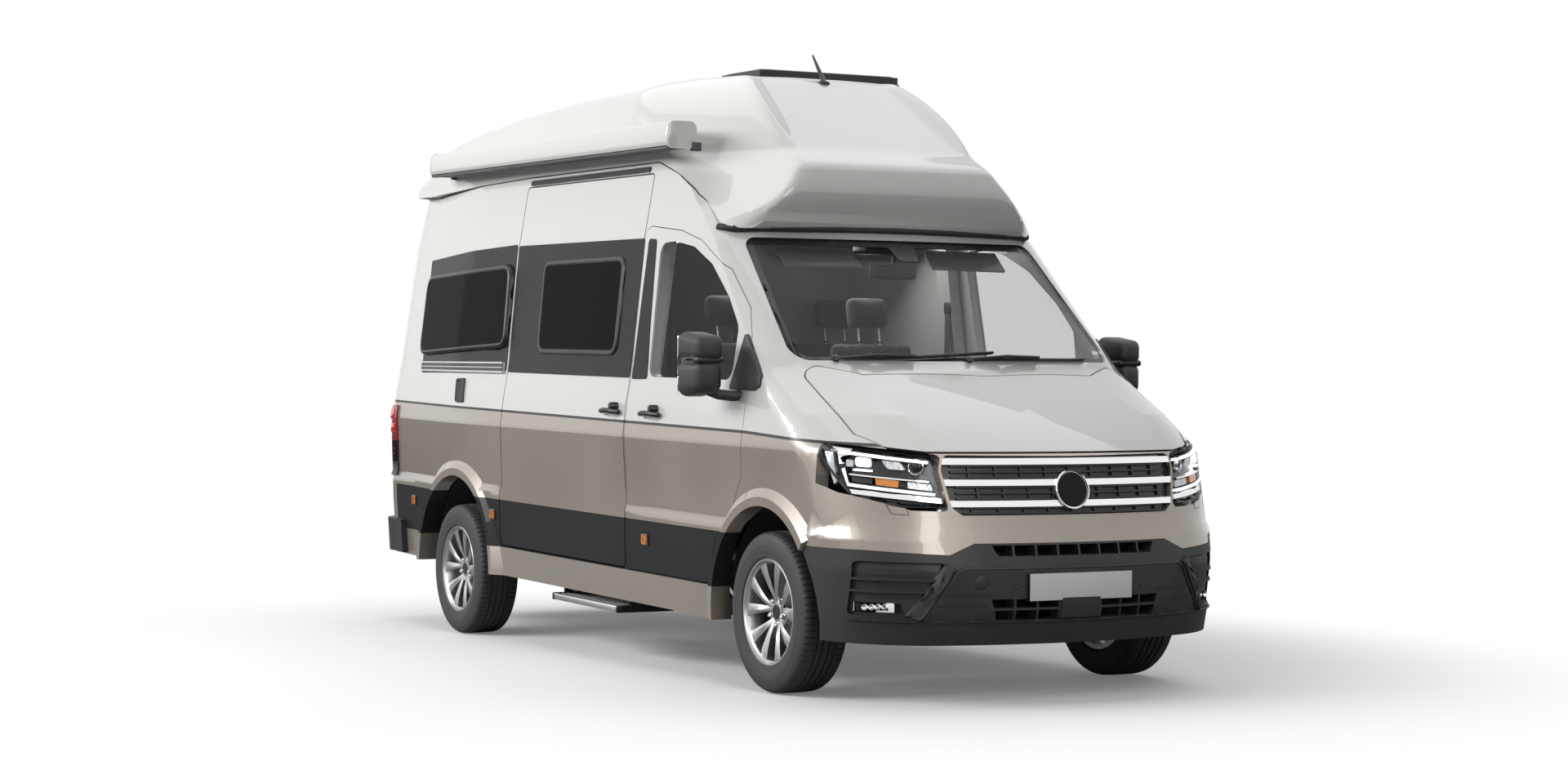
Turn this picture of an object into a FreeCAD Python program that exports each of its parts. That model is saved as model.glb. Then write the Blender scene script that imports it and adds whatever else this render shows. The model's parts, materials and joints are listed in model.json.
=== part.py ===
import FreeCAD, Part
import math
import os
import re
from types import SimpleNamespace

# Camper van: panel van body with a moulded high roof, on four road wheels.
# X forward, Y left, Z up; the origin lies on the ground under the middle of the overall box.

Vector = FreeCAD.Vector
doc = FreeCAD.newDocument("CamperVan")

# Driving sizes in millimetres and degrees
SIZES = [
    ("half_length", 2993), ("half_width", 1020), ("full_height", 2971), ("overrun", 400),
    ("wheelbase", 3640), ("rake_angle", 1.4), ("rake_height", 350), ("wall", 60), ("skin_wall", 40),
    ("roof_wall", 45), ("panel_gap", 8), ("grille_set", 22), ("bar_tall", 26),
    ("arch_shift", 18), ("seat_gap", 0.3), ("glass_thick", 8), ("glass_set", 10),
    ("corner_round", 60), ("window_round", 90), ("track_front", 1734), ("track_rear", 1747),
    ("tyre_radius", 356), ("tyre_width", 235), ("rim_radius", 226), ("rim_width", 205), ("rim_wall", 12),
    ("hub_radius", 95), ("hub_bore", 34), ("spoke_thick", 34), ("spoke_width", 30),
    ("spoke_pair_angle", 22), ("rim_set", 12), ("disc_radius", 148), ("disc_thick", 28),
    ("bell_radius", 88), ("fit_gap", 3), ("arch_radius_front", 466), ("arch_radius_rear", 516),
    ("arch_centre_front_z", 405), ("arch_centre_rear_z", 316), ("flare_rise", 22), ("flare_reach", 80),
    ("tub_inner", 520), ("tub_inner_rear", 640), ("tub_wall", 12), ("kingpin_y", 755), ("kingpin_lean", 12),
    ("door_clear", 6), ("flare_slope", 1.6), ("seal_width", 32), ("rail_back", 300),
    ("plate_thick", 15), ("step_inset", 60), ("runner_long", 200), ("post_width", 110),
    ("mirror_depth", 110), ("mirror_bulge", 24), ("mirror_wide", 170), ("mirror_tall", 300), ("mirror_arm", 45),
    ("floor_thick", 60), ("rail_width", 80), ("rail_height", 110), ("rail_y", 470), ("awning_length", 3080),
    ("awning_depth", 190), ("awning_height", 130), ("awning_round", 45), ("hatch_long", 420),
    ("hatch_wide", 800), ("hatch_frame_tall", 40), ("hatch_lid_tall", 30), ("hatch_rim", 60),
    ("aerial_radius", 14), ("aerial_tall", 200), ("aerial_lean", 40), ("rear_bumper_out", 35),
    ("tail_lamp_out", 12), ("step_long", 760), ("step_wide", 300), ("step_thick", 30), ("step_z", 262),
    ("engine_long", 620), ("engine_wide", 680), ("engine_tall", 560), ("subframe_long", 420),
    ("subframe_wide", 800), ("subframe_tall", 70), ("subframe_z", 230), ("arm_radius", 24),
    ("arm_end_z", 234), ("strut_radius", 30), ("strut_low_z", 540.3),
    ("strut_top_z", 900), ("upright_radius", 34), ("knuckle_low_z", 270), ("knuckle_high_z", 540),
    ("stub_end_y", 905), ("caliper_out", 22), ("caliper_in", 100), ("caliper_inner_y", 800),
    ("caliper_outer_y", 872), ("caliper_tall", 120), ("disc_y", 836), ("axle_radius", 50),
    ("axle_half", 720), ("rear_stub_y", 905), ("spring_half", 640), ("spring_y", 475), ("spring_wide", 70),
    ("spring_thick", 40), ("tank_long", 900), ("tank_wide", 420), ("tank_tall", 190), ("tank_y", -10),
    ("pipe_radius", 32), ("pipe_y", 330), ("silencer_radius", 95), ("silencer_long", 620),
    ("shoulder", 12), ("shoulder_drop", 9), ("bulge_radius", 290),
    ("rim_drop", 20), ("face_in", 20), ("face_out", 62), ("disc_off", -31),
    ("wheel_lean", 28), ("wheel_ring", 180), ("wheel_grip", 14), ("wheel_boss", 70), ("column_long", 330),
    ("column_gap", 60), ("column_case", 55), ("seat_deep", 480), ("seat_base", 330), ("cushion", 110),
    ("seat_inset", 40), ("back_tall", 640), ("back_lean", 12), ("rest_thick", 90), ("rest_wide", 240),
    ("rest_tall", 170), ("rest_gap", 60), ("post_thick", 12), ("cab_seat_wide", 500), ("bench_wide", 900),
    ("kitchen_long", 640), ("kitchen_deep", 560), ("wash_long", 830), ("wash_deep", 740),
    ("bed_long", 1400), ("bed_thick", 160), ("rib_wide", 10), ("recess_set", 16), ("slide_rail_out", 12),
    ("pane_out", 20), ("handle_long", 170), ("handle_thick", 22), ("handle_out", 36), ("roof_round", 180),
]
# Places on the body, as shares of its half length, half width and full height
PLACE_SHARES = {
    "half_length": {
        "cab_relief_x": 0.49449,
        "split_x": 0.21884, "post_x": 0.18777, "seam_front_x": 0.40762, "rear_face_depth": 0.93552,
        "nose_start_x": 0.83528, "lamp_start_x": 0.81189, "screen_start_x": 0.41764, "floor_rear_x": -0.95556,
        "floor_front_x": 0.58804, "rail_front_x": 0.40094, "rear_bumper_x": -1.00902,
        "rear_bumper_front_x": -0.85533, "tail_lamp_front_x": -0.90210, "awning_rear_x": -0.73171,
        "hatch_x": -0.02005, "aerial_x": 0.23388, "step_x": -0.10692, "engine_x": 0.69495, "tank_x": 0.05012,
        "pipe_front_x": 0.50117, "pipe_rear_x": -0.38423, "silencer_x": -0.30070, "dash_rear_x": 0.44437,
        "wheel_x": 0.38423, "slider_handle_x": 0.13064, "door_handle_x": 0.27999,
        "cab_seat_x": 0.18710, "bench_x": -0.07685, "kitchen_x": -0.41764, "wash_x": -0.43435,
        "bed_x": -0.94220, "mirror_x": 0.54795, "front_axle_x": 0.66823,
    },
    "half_width": {
        "rear_relief_y": 0.60784, "handle_y": 0.99216,
        "flare_surface": 0.97843, "mirror_tip_y": 1.18922, "mirror_foot_y": 0.95588, "floor_half": 0.90686,
        "firewall_half": 0.88235, "awning_outer_y": 0.93627, "tail_lamp_inner": 0.79902, "step_outer_y": 0.96078,
        "dash_half": 0.88235, "driver_y": 0.39216, "bench_y": 0.41176, "kitchen_outer_y": 0.88235,
        "wash_inner_y": 0.14706, "bed_half": 0.90196, "hatch_middle_y": 0.21078,
    },
    "full_height": {
        "mirror_low_z": 0.46617, "handle_z": 0.41703, "mirror_foot_z": 0.47122, "floor_top": 0.20195, "firewall_top": 0.46449,
        "awning_low_z": 0.84147, "hatch_z": 0.96937, "aerial_z": 0.96264, "rear_bumper_low": 0.11444,
        "rear_bumper_top": 0.17839, "tail_lamp_low": 0.26254, "tail_lamp_top": 0.40054, "engine_z": 0.16156,
        "dash_top_z": 0.46112, "dash_low_z": 0.30293, "wheel_z": 0.44766, "kitchen_top": 0.50488,
        "wash_top": 0.77415, "bed_low": 0.39717, "pipe_z": 0.14137,
    },
}
sheet = doc.addObject("Spreadsheet::Sheet", "Sizes")
for row, (alias, number) in enumerate(SIZES, 1):
    sheet.set("A%d" % row, alias)
    sheet.set("B%d" % row, str(number))
    sheet.setAlias("B%d" % row, alias)
doc.recompute()
g = SimpleNamespace(**{alias: float(sheet.get(alias)) for alias, number in SIZES})
scaled = {}
for whole, places in PLACE_SHARES.items():
    for alias, share in places.items():
        setattr(g, alias, share * getattr(g, whole))
        scaled[alias] = "(%r * Sizes.%s)" % (share, whole)
g.arch_centre_rear_x = g.wheelbase - g.front_axle_x - g.arch_shift

RAKE = FreeCAD.Placement(Vector(0, 0, 0), FreeCAD.Rotation(Vector(0, 1, 0), g.rake_angle),
                         Vector(0, 0, g.rake_height))
LEVEL = FreeCAD.Placement()
SIDES = (("right", -1), ("left", 1))
nodes = []


def feature(label, shape, place=RAKE):
    """A sub-part whose shape is worked out from the sheet in this file."""
    item = doc.addObject("Part::Feature", label)
    item.Label = label
    item.Shape = shape
    item.Placement = place.multiply(shape.Placement)
    nodes.append(item)
    return item


def bound(text):
    """An expression in which each alias is read from the sheet."""
    return re.sub(r"[a-z][a-z_]+", lambda match: scaled.get(match[0], "Sizes." + match[0]), text)


# Outlines are tables of shares: x of the half length, y of the half width, z of the full height
def side_points(shares):
    return [Vector(x * g.half_length, 0, z * g.full_height) for x, z in shares]


def plan_points(shares):
    return [Vector(x * g.half_length, y * g.half_width, 0) for x, y in shares]


def face_points(shares):
    return [Vector(0, y * g.half_width, z * g.full_height) for y, z in shares]


def loop(points, rounding=0):
    """A closed wire through the points, each corner rounded as far as its edges allow."""
    if not rounding:
        return Part.makePolygon(points + [points[0]])
    reach_share, straight_share = 0.45, 0.01
    corners = []
    for i, point in enumerate(points):
        back = points[i - 1] - point
        ahead = points[(i + 1) % len(points)] - point
        reach = min(back.Length, ahead.Length) * reach_share
        back.normalize()
        ahead.normalize()
        half = back.getAngle(ahead) / 2
        if math.cos(half) < straight_share:
            corners.append((point, None, point))
            continue
        cut = min(rounding / math.tan(half), reach)
        radius = cut * math.tan(half)
        middle = back + ahead
        middle.normalize()
        corners.append((point + back * cut, point + middle * (radius / math.sin(half) - radius),
                        point + ahead * cut))
    edges = []
    for i, (start, middle, end) in enumerate(corners):
        if middle:
            edges.append(Part.Arc(start, middle, end).toShape())
        edges.append(Part.makeLine(end, corners[(i + 1) % len(corners)][0]))
    return Part.Wire(edges)


def prism(points, along, start, end, rounding=0, grow=0):
    """The outline swept between two places on the axis it faces."""
    face = Part.Face(loop(points, rounding))
    if grow:
        face = face.makeOffset2D(grow)
    shape = face.extrude(along * (end - start))
    shape.translate(along * start)
    return shape


AX, AY, AZ = Vector(1, 0, 0), Vector(0, 1, 0), Vector(0, 0, 1)


def side_prism(shares, side, rounding=0, grow=0):
    far = side * (g.half_width + g.overrun)
    return prism(side_points(shares), AY, 0, far, rounding, grow)


def box(x0, x1, y0, y1, z0, z1):
    low = Vector(min(x0, x1), min(y0, y1), min(z0, z1))
    return Part.makeBox(abs(x1 - x0), abs(y1 - y0), abs(z1 - z0), low)


def rod(radius, start, end):
    return Part.makeCylinder(radius, (end - start).Length, start, end - start)


def fuse(first, *rest):
    return first.fuse(list(rest)).removeSplitter() if rest else first


# Level lines of the steel body, from the sill to the gutter: height, front, bow of the front,
# half width of the bowed part, start of the straight side, half width
LEVEL_SHARES = [
    (0.1111, 0.9873, 0.0284, 0.5882, 0.8019, 0.9559),
    (0.1582, 0.9990, 0.0284, 0.5882, 0.8019, 0.9657),
    (0.2154, 1.0000, 0.0274, 0.5882, 0.8019, 0.9784),
    (0.2609, 0.9890, 0.0281, 0.5882, 0.8019, 0.9833),
    (0.2726, 0.9840, 0.0281, 0.5882, 0.7952, 0.9706),
    (0.3753, 0.9622, 0.0301, 0.5882, 0.7618, 0.9833),
    (0.3837, 0.9522, 0.0284, 0.5882, 0.7551, 0.9824),
    (0.4318, 0.8770, 0.0251, 0.5882, 0.6749, 0.9657),
    (0.4780, 0.7651, 0.0217, 0.5882, 0.6348, 0.9431),
    (0.4981, 0.7183, 0.0200, 0.5882, 0.6148, 0.9343),
    (0.7018, 0.4694, 0.0134, 0.5490, 0.4093, 0.8598),
    (0.8617, 0.2760, 0.0134, 0.5294, 0.1871, 0.7647),
]
CORNER_SHARES = (0.72, 0.60)
# The rear of each level: rear face, its bow, half width of the bowed part, taper of the side
REAR_SHARES = [(0.1111, -0.9856), (0.4207, -0.9856), (0.8246, -0.9572)]
REAR_BOW_SHARE, REAR_NOSE_SHARE, REAR_TAPER_SHARE = 0.0100, 0.7745, 0.0588
REAR_SIDE_SHARE, REAR_CORNER_SHARE = 0.5680, 0.0768


def between(table, height):
    """The value of a table of shares at a height share."""
    for (low, a), (high, b) in zip(table, table[1:]):
        if height <= high:
            return a + (b - a) * (height - low) / (high - low)
    return table[-1][1]


def level_wire(row, inset, lift=0):
    height, front, bow, nose, corner, half = row
    z = height * g.full_height + lift
    bow_x = front * g.half_length - inset
    tip_x = bow_x - bow * g.half_length
    tip_y = nose * g.half_width - inset * CORNER_SHARES[1]
    side_x = corner * g.half_length
    side_y = half * g.half_width - inset
    mid_x = side_x + (tip_x - side_x) * CORNER_SHARES[0]
    mid_y = tip_y + (side_y - tip_y) * CORNER_SHARES[1]
    rear_x = between(REAR_SHARES, height) * g.half_length + inset
    end_x = rear_x + REAR_BOW_SHARE * g.half_length
    end_y = REAR_NOSE_SHARE * g.half_width * half - inset * CORNER_SHARES[1]
    turn_x = rear_x + REAR_CORNER_SHARE * g.half_length - inset
    turn_y = side_y - REAR_TAPER_SHARE * g.half_width
    bend_x = turn_x + (end_x - turn_x) * CORNER_SHARES[0]
    bend_y = end_y + (turn_y - end_y) * CORNER_SHARES[0]
    straight_x = -REAR_SIDE_SHARE * g.half_length

    def at(x, y):
        return Vector(x, y, z)
    edges = [Part.Arc(at(tip_x, -tip_y), at(bow_x, 0), at(tip_x, tip_y)).toShape()]
    edges.append(Part.Arc(at(tip_x, tip_y), at(mid_x, mid_y), at(side_x, side_y)).toShape())
    edges.append(Part.makeLine(at(side_x, side_y), at(straight_x, side_y)))
    edges.append(Part.makeLine(at(straight_x, side_y), at(turn_x, turn_y)))
    edges.append(Part.Arc(at(turn_x, turn_y), at(bend_x, bend_y), at(end_x, end_y)).toShape())
    edges.append(Part.Arc(at(end_x, end_y), at(rear_x, 0), at(end_x, -end_y)).toShape())
    edges.append(Part.Arc(at(end_x, -end_y), at(bend_x, -bend_y), at(turn_x, -turn_y)).toShape())
    edges.append(Part.makeLine(at(turn_x, -turn_y), at(straight_x, -side_y)))
    edges.append(Part.makeLine(at(straight_x, -side_y), at(side_x, -side_y)))
    edges.append(Part.Arc(at(side_x, -side_y), at(mid_x, -mid_y), at(tip_x, -tip_y)).toShape())
    return Part.Wire(edges)


def hull(inset, through=False):
    """The steel body as a solid, set in by a distance; an inner one runs out past both ends."""
    wires = [level_wire(row, inset) for row in LEVEL_SHARES]
    if through:
        wires.insert(0, level_wire(LEVEL_SHARES[0], inset, -g.overrun))
        wires.append(level_wire(LEVEL_SHARES[-1], inset, g.overrun))
    return Part.makeLoft(wires, True, True)



# The moulded high roof: side view, cross section and plan, met together
ROOF_SIDE_SHARES = [
    (-0.9689, 0.7842), (-0.8306, 0.8936), (-0.6498, 0.9249), (-0.4641, 0.9435), (-0.2058, 0.9620),
    (0.0555, 0.9741), (0.2172, 0.9741), (0.4203, 0.8421), (0.4734, 0.8132), (0.4932, 0.7694),
    (0.4668, 0.7186), (0.4310, 0.6934), (0.2673, 0.6934), (-0.2005, 0.7405), (-0.9021, 0.7405),
]
ROOF_SECTION_SHARES = [
    (0.8873, 0.6732), (0.7873, 0.8246), (0.7529, 0.9088), (0.6765, 0.9525), (0.5294, 0.9694),
    (0.0000, 0.9761), (-0.5294, 0.9694), (-0.6765, 0.9525), (-0.7529, 0.9088), (-0.7873, 0.8246),
    (-0.8873, 0.6732),
]
ROOF_PLAN_SHARES = [
    (0.5012, 0.5882), (0.4143, 0.8627), (0.3341, 0.9412), (-0.7685, 0.9412), (-0.9021, 0.8627),
    (-0.9656, 0.5882), (-0.9689, 0.0000), (-0.9656, -0.5882), (-0.9021, -0.8627), (-0.7685, -0.9412),
    (0.3341, -0.9412), (0.4143, -0.8627), (0.5012, -0.5882),
]
# The seam under the roof shell, seen from the side
SEAM_SHARES = [
    (-0.9990, 0.8078), (-0.8426, 0.8088), (-0.5931, 0.8199), (-0.3702, 0.8240), (0.1437, 0.8253),
    (0.1871, 0.8213), (0.2476, 0.8041), (0.3495, 0.7573), (0.4106, 0.7203), (0.4444, 0.7109),
    (0.5346, 0.7109),
]
# The flat beside the nose of the overcab, through three places
FACET_SHARES = [(0.4928, 0.5961, 0.7694), (0.4203, 0.4971, 0.8421), (0.4186, 0.8255, 0.7152)]


def side_region(shares, rounding=0, grow=0):
    far = g.half_width + g.overrun
    return prism(side_points(shares), AY, -far, far, rounding, grow)


def roof_hull(inset):
    side = side_region(ROOF_SIDE_SHARES, g.corner_round, -inset)
    section = prism(face_points(ROOF_SECTION_SHARES), AX, -g.half_length - g.overrun,
                    g.half_length, g.roof_round, -inset)
    plan = prism(plan_points(ROOF_PLAN_SHARES), AZ, 0, g.full_height + g.overrun,
                 g.corner_round * 2, -inset)
    solid = side.common(section).common(plan)
    for side_name, sign in SIDES:
        spots = [Vector(x * g.half_length, sign * y * g.half_width, z * g.full_height)
                 for x, y, z in FACET_SHARES]
        normal = (spots[1] - spots[0]).cross(spots[2] - spots[0])
        normal.normalize()
        if normal.x < 0:
            normal = -normal
        plane = Part.makePlane(g.half_length, g.half_length, Vector(0, 0, 0), normal)
        centre = plane.CenterOfMass
        plane.translate(spots[0] - normal * inset - centre)
        solid = solid.cut(plane.extrude(normal * g.overrun))
    return solid


above_seam = side_region(SEAM_SHARES + [(0.5346, 1.1444), (-0.9990, 1.1444)])
roof_outer = roof_hull(0)
roof_inner = roof_hull(g.roof_wall)
roof_shell = roof_outer.cut(roof_inner).common(above_seam)
feature("high_roof", roof_shell)

# Panel outlines on the body sides
CAB_DOOR_SHARES = [
    (0.1878, 0.1636), (0.1941, 0.2541), (0.1894, 0.2992), (0.1818, 0.4258), (0.1821, 0.4665),
    (0.1671, 0.7136), (0.1871, 0.7213), (0.3007, 0.7109), (0.3759, 0.6937), (0.4768, 0.6462),
    (0.5459, 0.5863), (0.5783, 0.5426), (0.5954, 0.4948), (0.5944, 0.3639), (0.5937, 0.3319),
    (0.5433, 0.2561), (0.5149, 0.2376), (0.5028, 0.2131), (0.5012, 0.1636),
]
SLIDER_SHARES = [
    (-0.3408, 0.1636), (-0.3358, 0.3029), (-0.3351, 0.4712), (-0.3562, 0.7102), (-0.3662, 0.8078),
    (0.1587, 0.8095), (0.1644, 0.7361), (0.1794, 0.4665), (0.1791, 0.4258), (0.1868, 0.2992),
    (0.1914, 0.2541), (0.1851, 0.1636),
]
CAB_WINDOW_SHARES = [
    (0.2456, 0.4763), (0.2305, 0.6917), (0.2840, 0.6934), (0.3532, 0.6833), (0.4227, 0.6547),
    (0.4945, 0.6025), (0.5379, 0.5571), (0.5346, 0.4763),
]
SLIDER_WINDOW_SHARES = [(-0.2061, 0.5160), (-0.2172, 0.6661), (0.1012, 0.6685), (0.1076, 0.5163)]
REAR_WINDOW_SHARES = [(-0.7835, 0.5099), (-0.7885, 0.6530), (-0.3775, 0.6631), (-0.3642, 0.5150)]
SCREEN_SHARES = [(-0.8284, 0.5082), (-0.7598, 0.6967), (0.7598, 0.6967), (0.8284, 0.5082)]
BONNET_LOW_SHARE = 0.3797
REAR_DOOR_SHARES = [(0.0000, 0.1885), (0.7922, 0.1885), (0.7843, 0.4376), (0.6765, 0.7842), (0.0000, 0.7910)]
REAR_PANE_SHARES = [(0.1078, 0.5049), (0.6765, 0.5049), (0.6373, 0.6664), (0.1078, 0.6664)]
# Front pieces, seen from the front
BONNET_PLAN_SHARES = [
    (0.7434, 0.0000), (0.7200, 0.5882), (0.6599, 0.8314), (0.7908, 0.8353), (0.8416, 0.8314),
    (0.9021, 0.7451), (1.0023, 0.6275), (1.0023, 0.0000),
]
GRILLE_SHARES = [
    (0.0000, 0.3763), (0.5637, 0.3777), (0.5784, 0.3568), (0.5490, 0.3046), (0.5098, 0.2935), (0.0000, 0.2935),
]
GRILLE_BAR_SHARES = (0.3689, 0.3393, 0.3097)
LAMP_SHARES = [
    (0.5735, 0.3777), (0.9412, 0.3931), (1.0784, 0.3921), (1.0784, 0.3669), (0.9216, 0.3231),
    (0.7059, 0.3002), (0.5608, 0.2989), (0.5882, 0.3551),
]
BUMPER_TOP_SHARES = [
    (1.0358, 0.2922), (0.9355, 0.2922), (0.8821, 0.3029), (0.7952, 0.2467), (0.7785, 0.2221),
    (0.7785, 0.0808), (1.0358, 0.0808),
]
INTAKE_SHARES = [(0.1029, 0.1764), (0.4118, 0.1764), (0.3873, 0.1468), (0.1029, 0.1468)]
SLOT_SHARES = [(0.4020, 0.2518), (-0.4020, 0.2518), (-0.3775, 0.2366), (0.3775, 0.2366)]
RIB_SHARES = (0.0000, 0.1029, 0.2059, 0.3088)
SLAT_SHARE = 0.1622
# The hollow panel beside the plate, its ribs and the hole for the fog lamp
RECESS_SHARES = [(0.5922, 0.2279), (0.9069, 0.2289), (0.9118, 0.1515), (0.6922, 0.1498)]
RECESS_RIB_SHARES = (0.2020, 0.1851)
FOG_SHARES = [(0.7549, 0.1703), (0.8873, 0.1703), (0.8873, 0.1555), (0.7402, 0.1555)]
# The rail that carries the rear end of the sliding door, seen from the side
SLIDE_RAIL_SHARES = [(-0.7818, 0.4699), (-0.7852, 0.4881), (-0.3491, 0.4921), (-0.3441, 0.4726)]


def face_prism(shares, start, end, rounding=0, grow=0, sign=1):
    points = [Vector(0, sign * p.y, p.z) for p in face_points(shares)]
    return prism(points, AX, start, end, rounding, grow)


def mirrored(shares):
    """A half outline and its mirror image across the middle, as one closed outline."""
    return shares + [(-y, z) for y, z in reversed(shares) if y]


def plan_mirrored(shares):
    return shares + [(x, -y) for x, y in reversed(shares) if y]


gap = g.panel_gap
front = g.half_length + g.overrun
door_wall = g.wall - g.door_clear


# Every panel is cut on the left half and mirrored to the right
left_half = box(-front, front, 0, front, 0, front)
steel_room = prism(side_points(SEAM_SHARES + [(0.5346, 0.0673), (1.1360, 0.0673), (1.1360, 0.0337),
                                              (-0.9990, 0.0337)]), AY, 0, front)
steel_room = steel_room.fuse(box(g.seam_front_x, front, 0, front, 0, SEAM_SHARES[-1][1] * g.full_height))
behind_split = box(-front, g.split_x - g.seat_gap, 0, front, 0, front)
ahead = box(g.split_x, front, 0, front, 0, front)
outer_half = hull(0).common(left_half)
mid_half = hull(g.wall / 2, True).common(left_half)


def half_skin(depth_out, depth_in, room):
    solid = outer_half if not depth_out else hull(depth_out, depth_out > 0).common(left_half)
    return solid.common(room).cut(hull(depth_in, True))


def mirror(shape):
    return shape.mirror(Vector(0, 0, 0), AY)


def pair(name, shape):
    """A left and a right node from one left shape."""
    feature(name + "_left", shape)
    feature(name + "_right", mirror(shape))


def both(shape):
    """The left shape and its mirror image as one node that holds two solids."""
    return Part.makeCompound([shape, mirror(shape)])


def left_prism(shares, rounding=0, grow=0):
    return prism(side_points(shares), AY, g.half_width / 2, front, rounding, grow)


def open_for(shape, make, behind, relief=None):
    """An opening with a step that the door closes on, apart from the hinge side, which swings past the step."""
    cutters = [make(-g.seal_width), make(0).cut(behind)]
    if relief:
        cutters.append(make(0).common(relief))
    return shape.cut(cutters)


def handle(middle_x):
    """A pull handle that stands off a door on two feet."""
    ends = (middle_x - g.handle_long / 2, middle_x + g.handle_long / 2)
    grip = rod(g.handle_thick / 2, Vector(ends[0], g.handle_y, g.handle_z), Vector(ends[1], g.handle_y, g.handle_z))
    feet = [rod(g.handle_thick / 2, Vector(x, g.handle_y - g.handle_out, g.handle_z), Vector(x, g.handle_y, g.handle_z))
            for x in (ends[0] + g.handle_thick, ends[1] - g.handle_thick)]
    return fuse(grip, *feet)


def arch(side, centre_x, centre_z, radius, depth):
    near = Vector(centre_x, side * depth, centre_z)
    far = Vector(centre_x, side * (g.half_width + g.overrun), centre_z)
    return rod(radius, near, far)


def flare(centre_x, centre_z, radius, surface):
    """The raised lip round a wheel arch: a low cone outside the wall's inner face."""
    base = Vector(centre_x, surface - g.wall, centre_z)
    rise = g.flare_rise + g.wall
    top = radius + g.flare_reach / 2
    cone = Part.makeCone(top + rise * g.flare_slope, top, rise, base, AY)
    above_sill = box(-front, front, 0, front, LEVEL_SHARES[0][0] * g.full_height, front)
    return cone.common(above_sill).cut(mid_half)


front_x, rear_x = g.front_axle_x, -g.arch_centre_rear_x
arches = {}
for name, side in SIDES:
    arches[name] = (arch(side, front_x, g.arch_centre_front_z, g.arch_radius_front, g.tub_inner),
                    arch(side, rear_x, g.arch_centre_rear_z, g.arch_radius_rear, g.tub_inner_rear))
front_arch, rear_arch = arches["left"]


def cab_door_outline(grow):
    return left_prism(CAB_DOOR_SHARES, g.corner_round / 2, grow)


def slider_outline(grow):
    return left_prism(SLIDER_SHARES, g.corner_round / 2, grow)


def rear_door_outline(grow):
    return face_prism(REAR_DOOR_SHARES, -front, -g.rear_face_depth, 0, grow)


# Side walls: quarter panel, sill, rear corner and the frame round the sliding door
skin = half_skin(0, g.wall, steel_room)
behind_seal = hull(door_wall + g.seat_gap, True)
cab_relief = box(g.cab_relief_x, front, 0, front, 0, front)
rear_relief = box(-front, -g.rear_face_depth, g.rear_relief_y, front, 0, front)
wall = skin.common(behind_split).fuse(flare(rear_x, g.arch_centre_rear_z, g.arch_radius_rear, g.flare_surface))
wall = wall.cut([rear_arch, left_prism(REAR_WINDOW_SHARES, g.window_round),
                 box(-front, front, 0, g.seat_gap / 2, 0, front)])
wall = open_for(wall, cab_door_outline, behind_seal, cab_relief)
wall = open_for(wall, rear_door_outline, behind_seal, rear_relief)
feature("side_wall_left", wall)
slide_rail = half_skin(-g.slide_rail_out, g.wall / 2, left_half).common(left_prism(SLIDE_RAIL_SHARES))
feature("side_wall_right", mirror(open_for(wall, slider_outline, behind_seal).fuse(slide_rail)))

door_skin = half_skin(0, door_wall, steel_room)
slider = door_skin.common(slider_outline(-gap)).cut(left_prism(SLIDER_WINDOW_SHARES, g.window_round))
feature("sliding_door", mirror(slider.fuse(handle(g.slider_handle_x))))

# Front body: fenders, pillars, cowl and header
bonnet_low = BONNET_LOW_SHARE * g.full_height


def bonnet_outline(low, grow):
    return prism(plan_points(plan_mirrored(BONNET_PLAN_SHARES)), AZ, low, g.full_height / 2 + g.overrun,
                 g.corner_round, grow)


def lamp_outline(grow, start):
    return face_prism(LAMP_SHARES, start, front, g.corner_round / 3, grow)


def grille_outline(grow):
    return face_prism(mirrored(GRILLE_SHARES), g.nose_start_x, front, g.corner_round / 2, grow)


def screen_outline(grow):
    return face_prism(SCREEN_SHARES, g.screen_start_x, front, g.corner_round, grow)


body = skin.common(ahead).fuse(flare(front_x, g.arch_centre_front_z, g.arch_radius_front, g.flare_surface))
body = body.cut([grille_outline(0), screen_outline(0), side_region(BUMPER_TOP_SHARES),
                 lamp_outline(0, g.lamp_start_x), front_arch])
body = open_for(body, cab_door_outline, behind_seal, cab_relief)
behind_bonnet = hull(g.skin_wall + g.seat_gap, True)
body = body.cut([bonnet_outline(bonnet_low + g.seal_width, -g.seal_width),
                 bonnet_outline(bonnet_low, 0).cut(behind_bonnet)])
body = body.fuse(mirror(body))
feature("front_body", body)
posts = half_skin(g.wall + g.seat_gap, g.wall * 2, box(
    g.post_x - g.post_width / 2, g.post_x + g.post_width / 2, 0, front, g.floor_top,
    REAR_DOOR_SHARES[-1][1] * g.full_height))
feature("door_posts", both(posts))

thin_skin = half_skin(0, g.skin_wall, ahead)
bonnet = thin_skin.common(bonnet_outline(bonnet_low + gap, -gap)).cut(lamp_outline(gap, g.lamp_start_x - gap))
feature("bonnet", bonnet.fuse(mirror(bonnet)))
pane_skin = half_skin(g.glass_set, g.glass_set + g.glass_thick, left_half)
screen = pane_skin.common(screen_outline(-g.seat_gap))
feature("windscreen", screen.fuse(mirror(screen)))
bumper = skin.common(side_region(BUMPER_TOP_SHARES, 0, -g.seat_gap))
ribs = [box(0, front, share * g.half_width - g.rib_wide / 2, share * g.half_width + g.rib_wide / 2, 0, front)
        for share in RIB_SHARES]
slat_z = SLAT_SHARE * g.full_height
ribs.append(box(0, front, 0, front, slat_z - g.rib_wide / 2, slat_z + g.rib_wide / 2))
air_ways = [face_prism(shares, g.nose_start_x, front).cut(ribs) for shares in (INTAKE_SHARES, SLOT_SHARES)]
recess = half_skin(0, g.recess_set, ahead).common(face_prism(RECESS_SHARES, g.lamp_start_x, front, g.corner_round / 3))
recess = recess.cut([box(0, front, 0, front, share * g.full_height, share * g.full_height + g.rib_wide)
                     for share in RECESS_RIB_SHARES])
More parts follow.
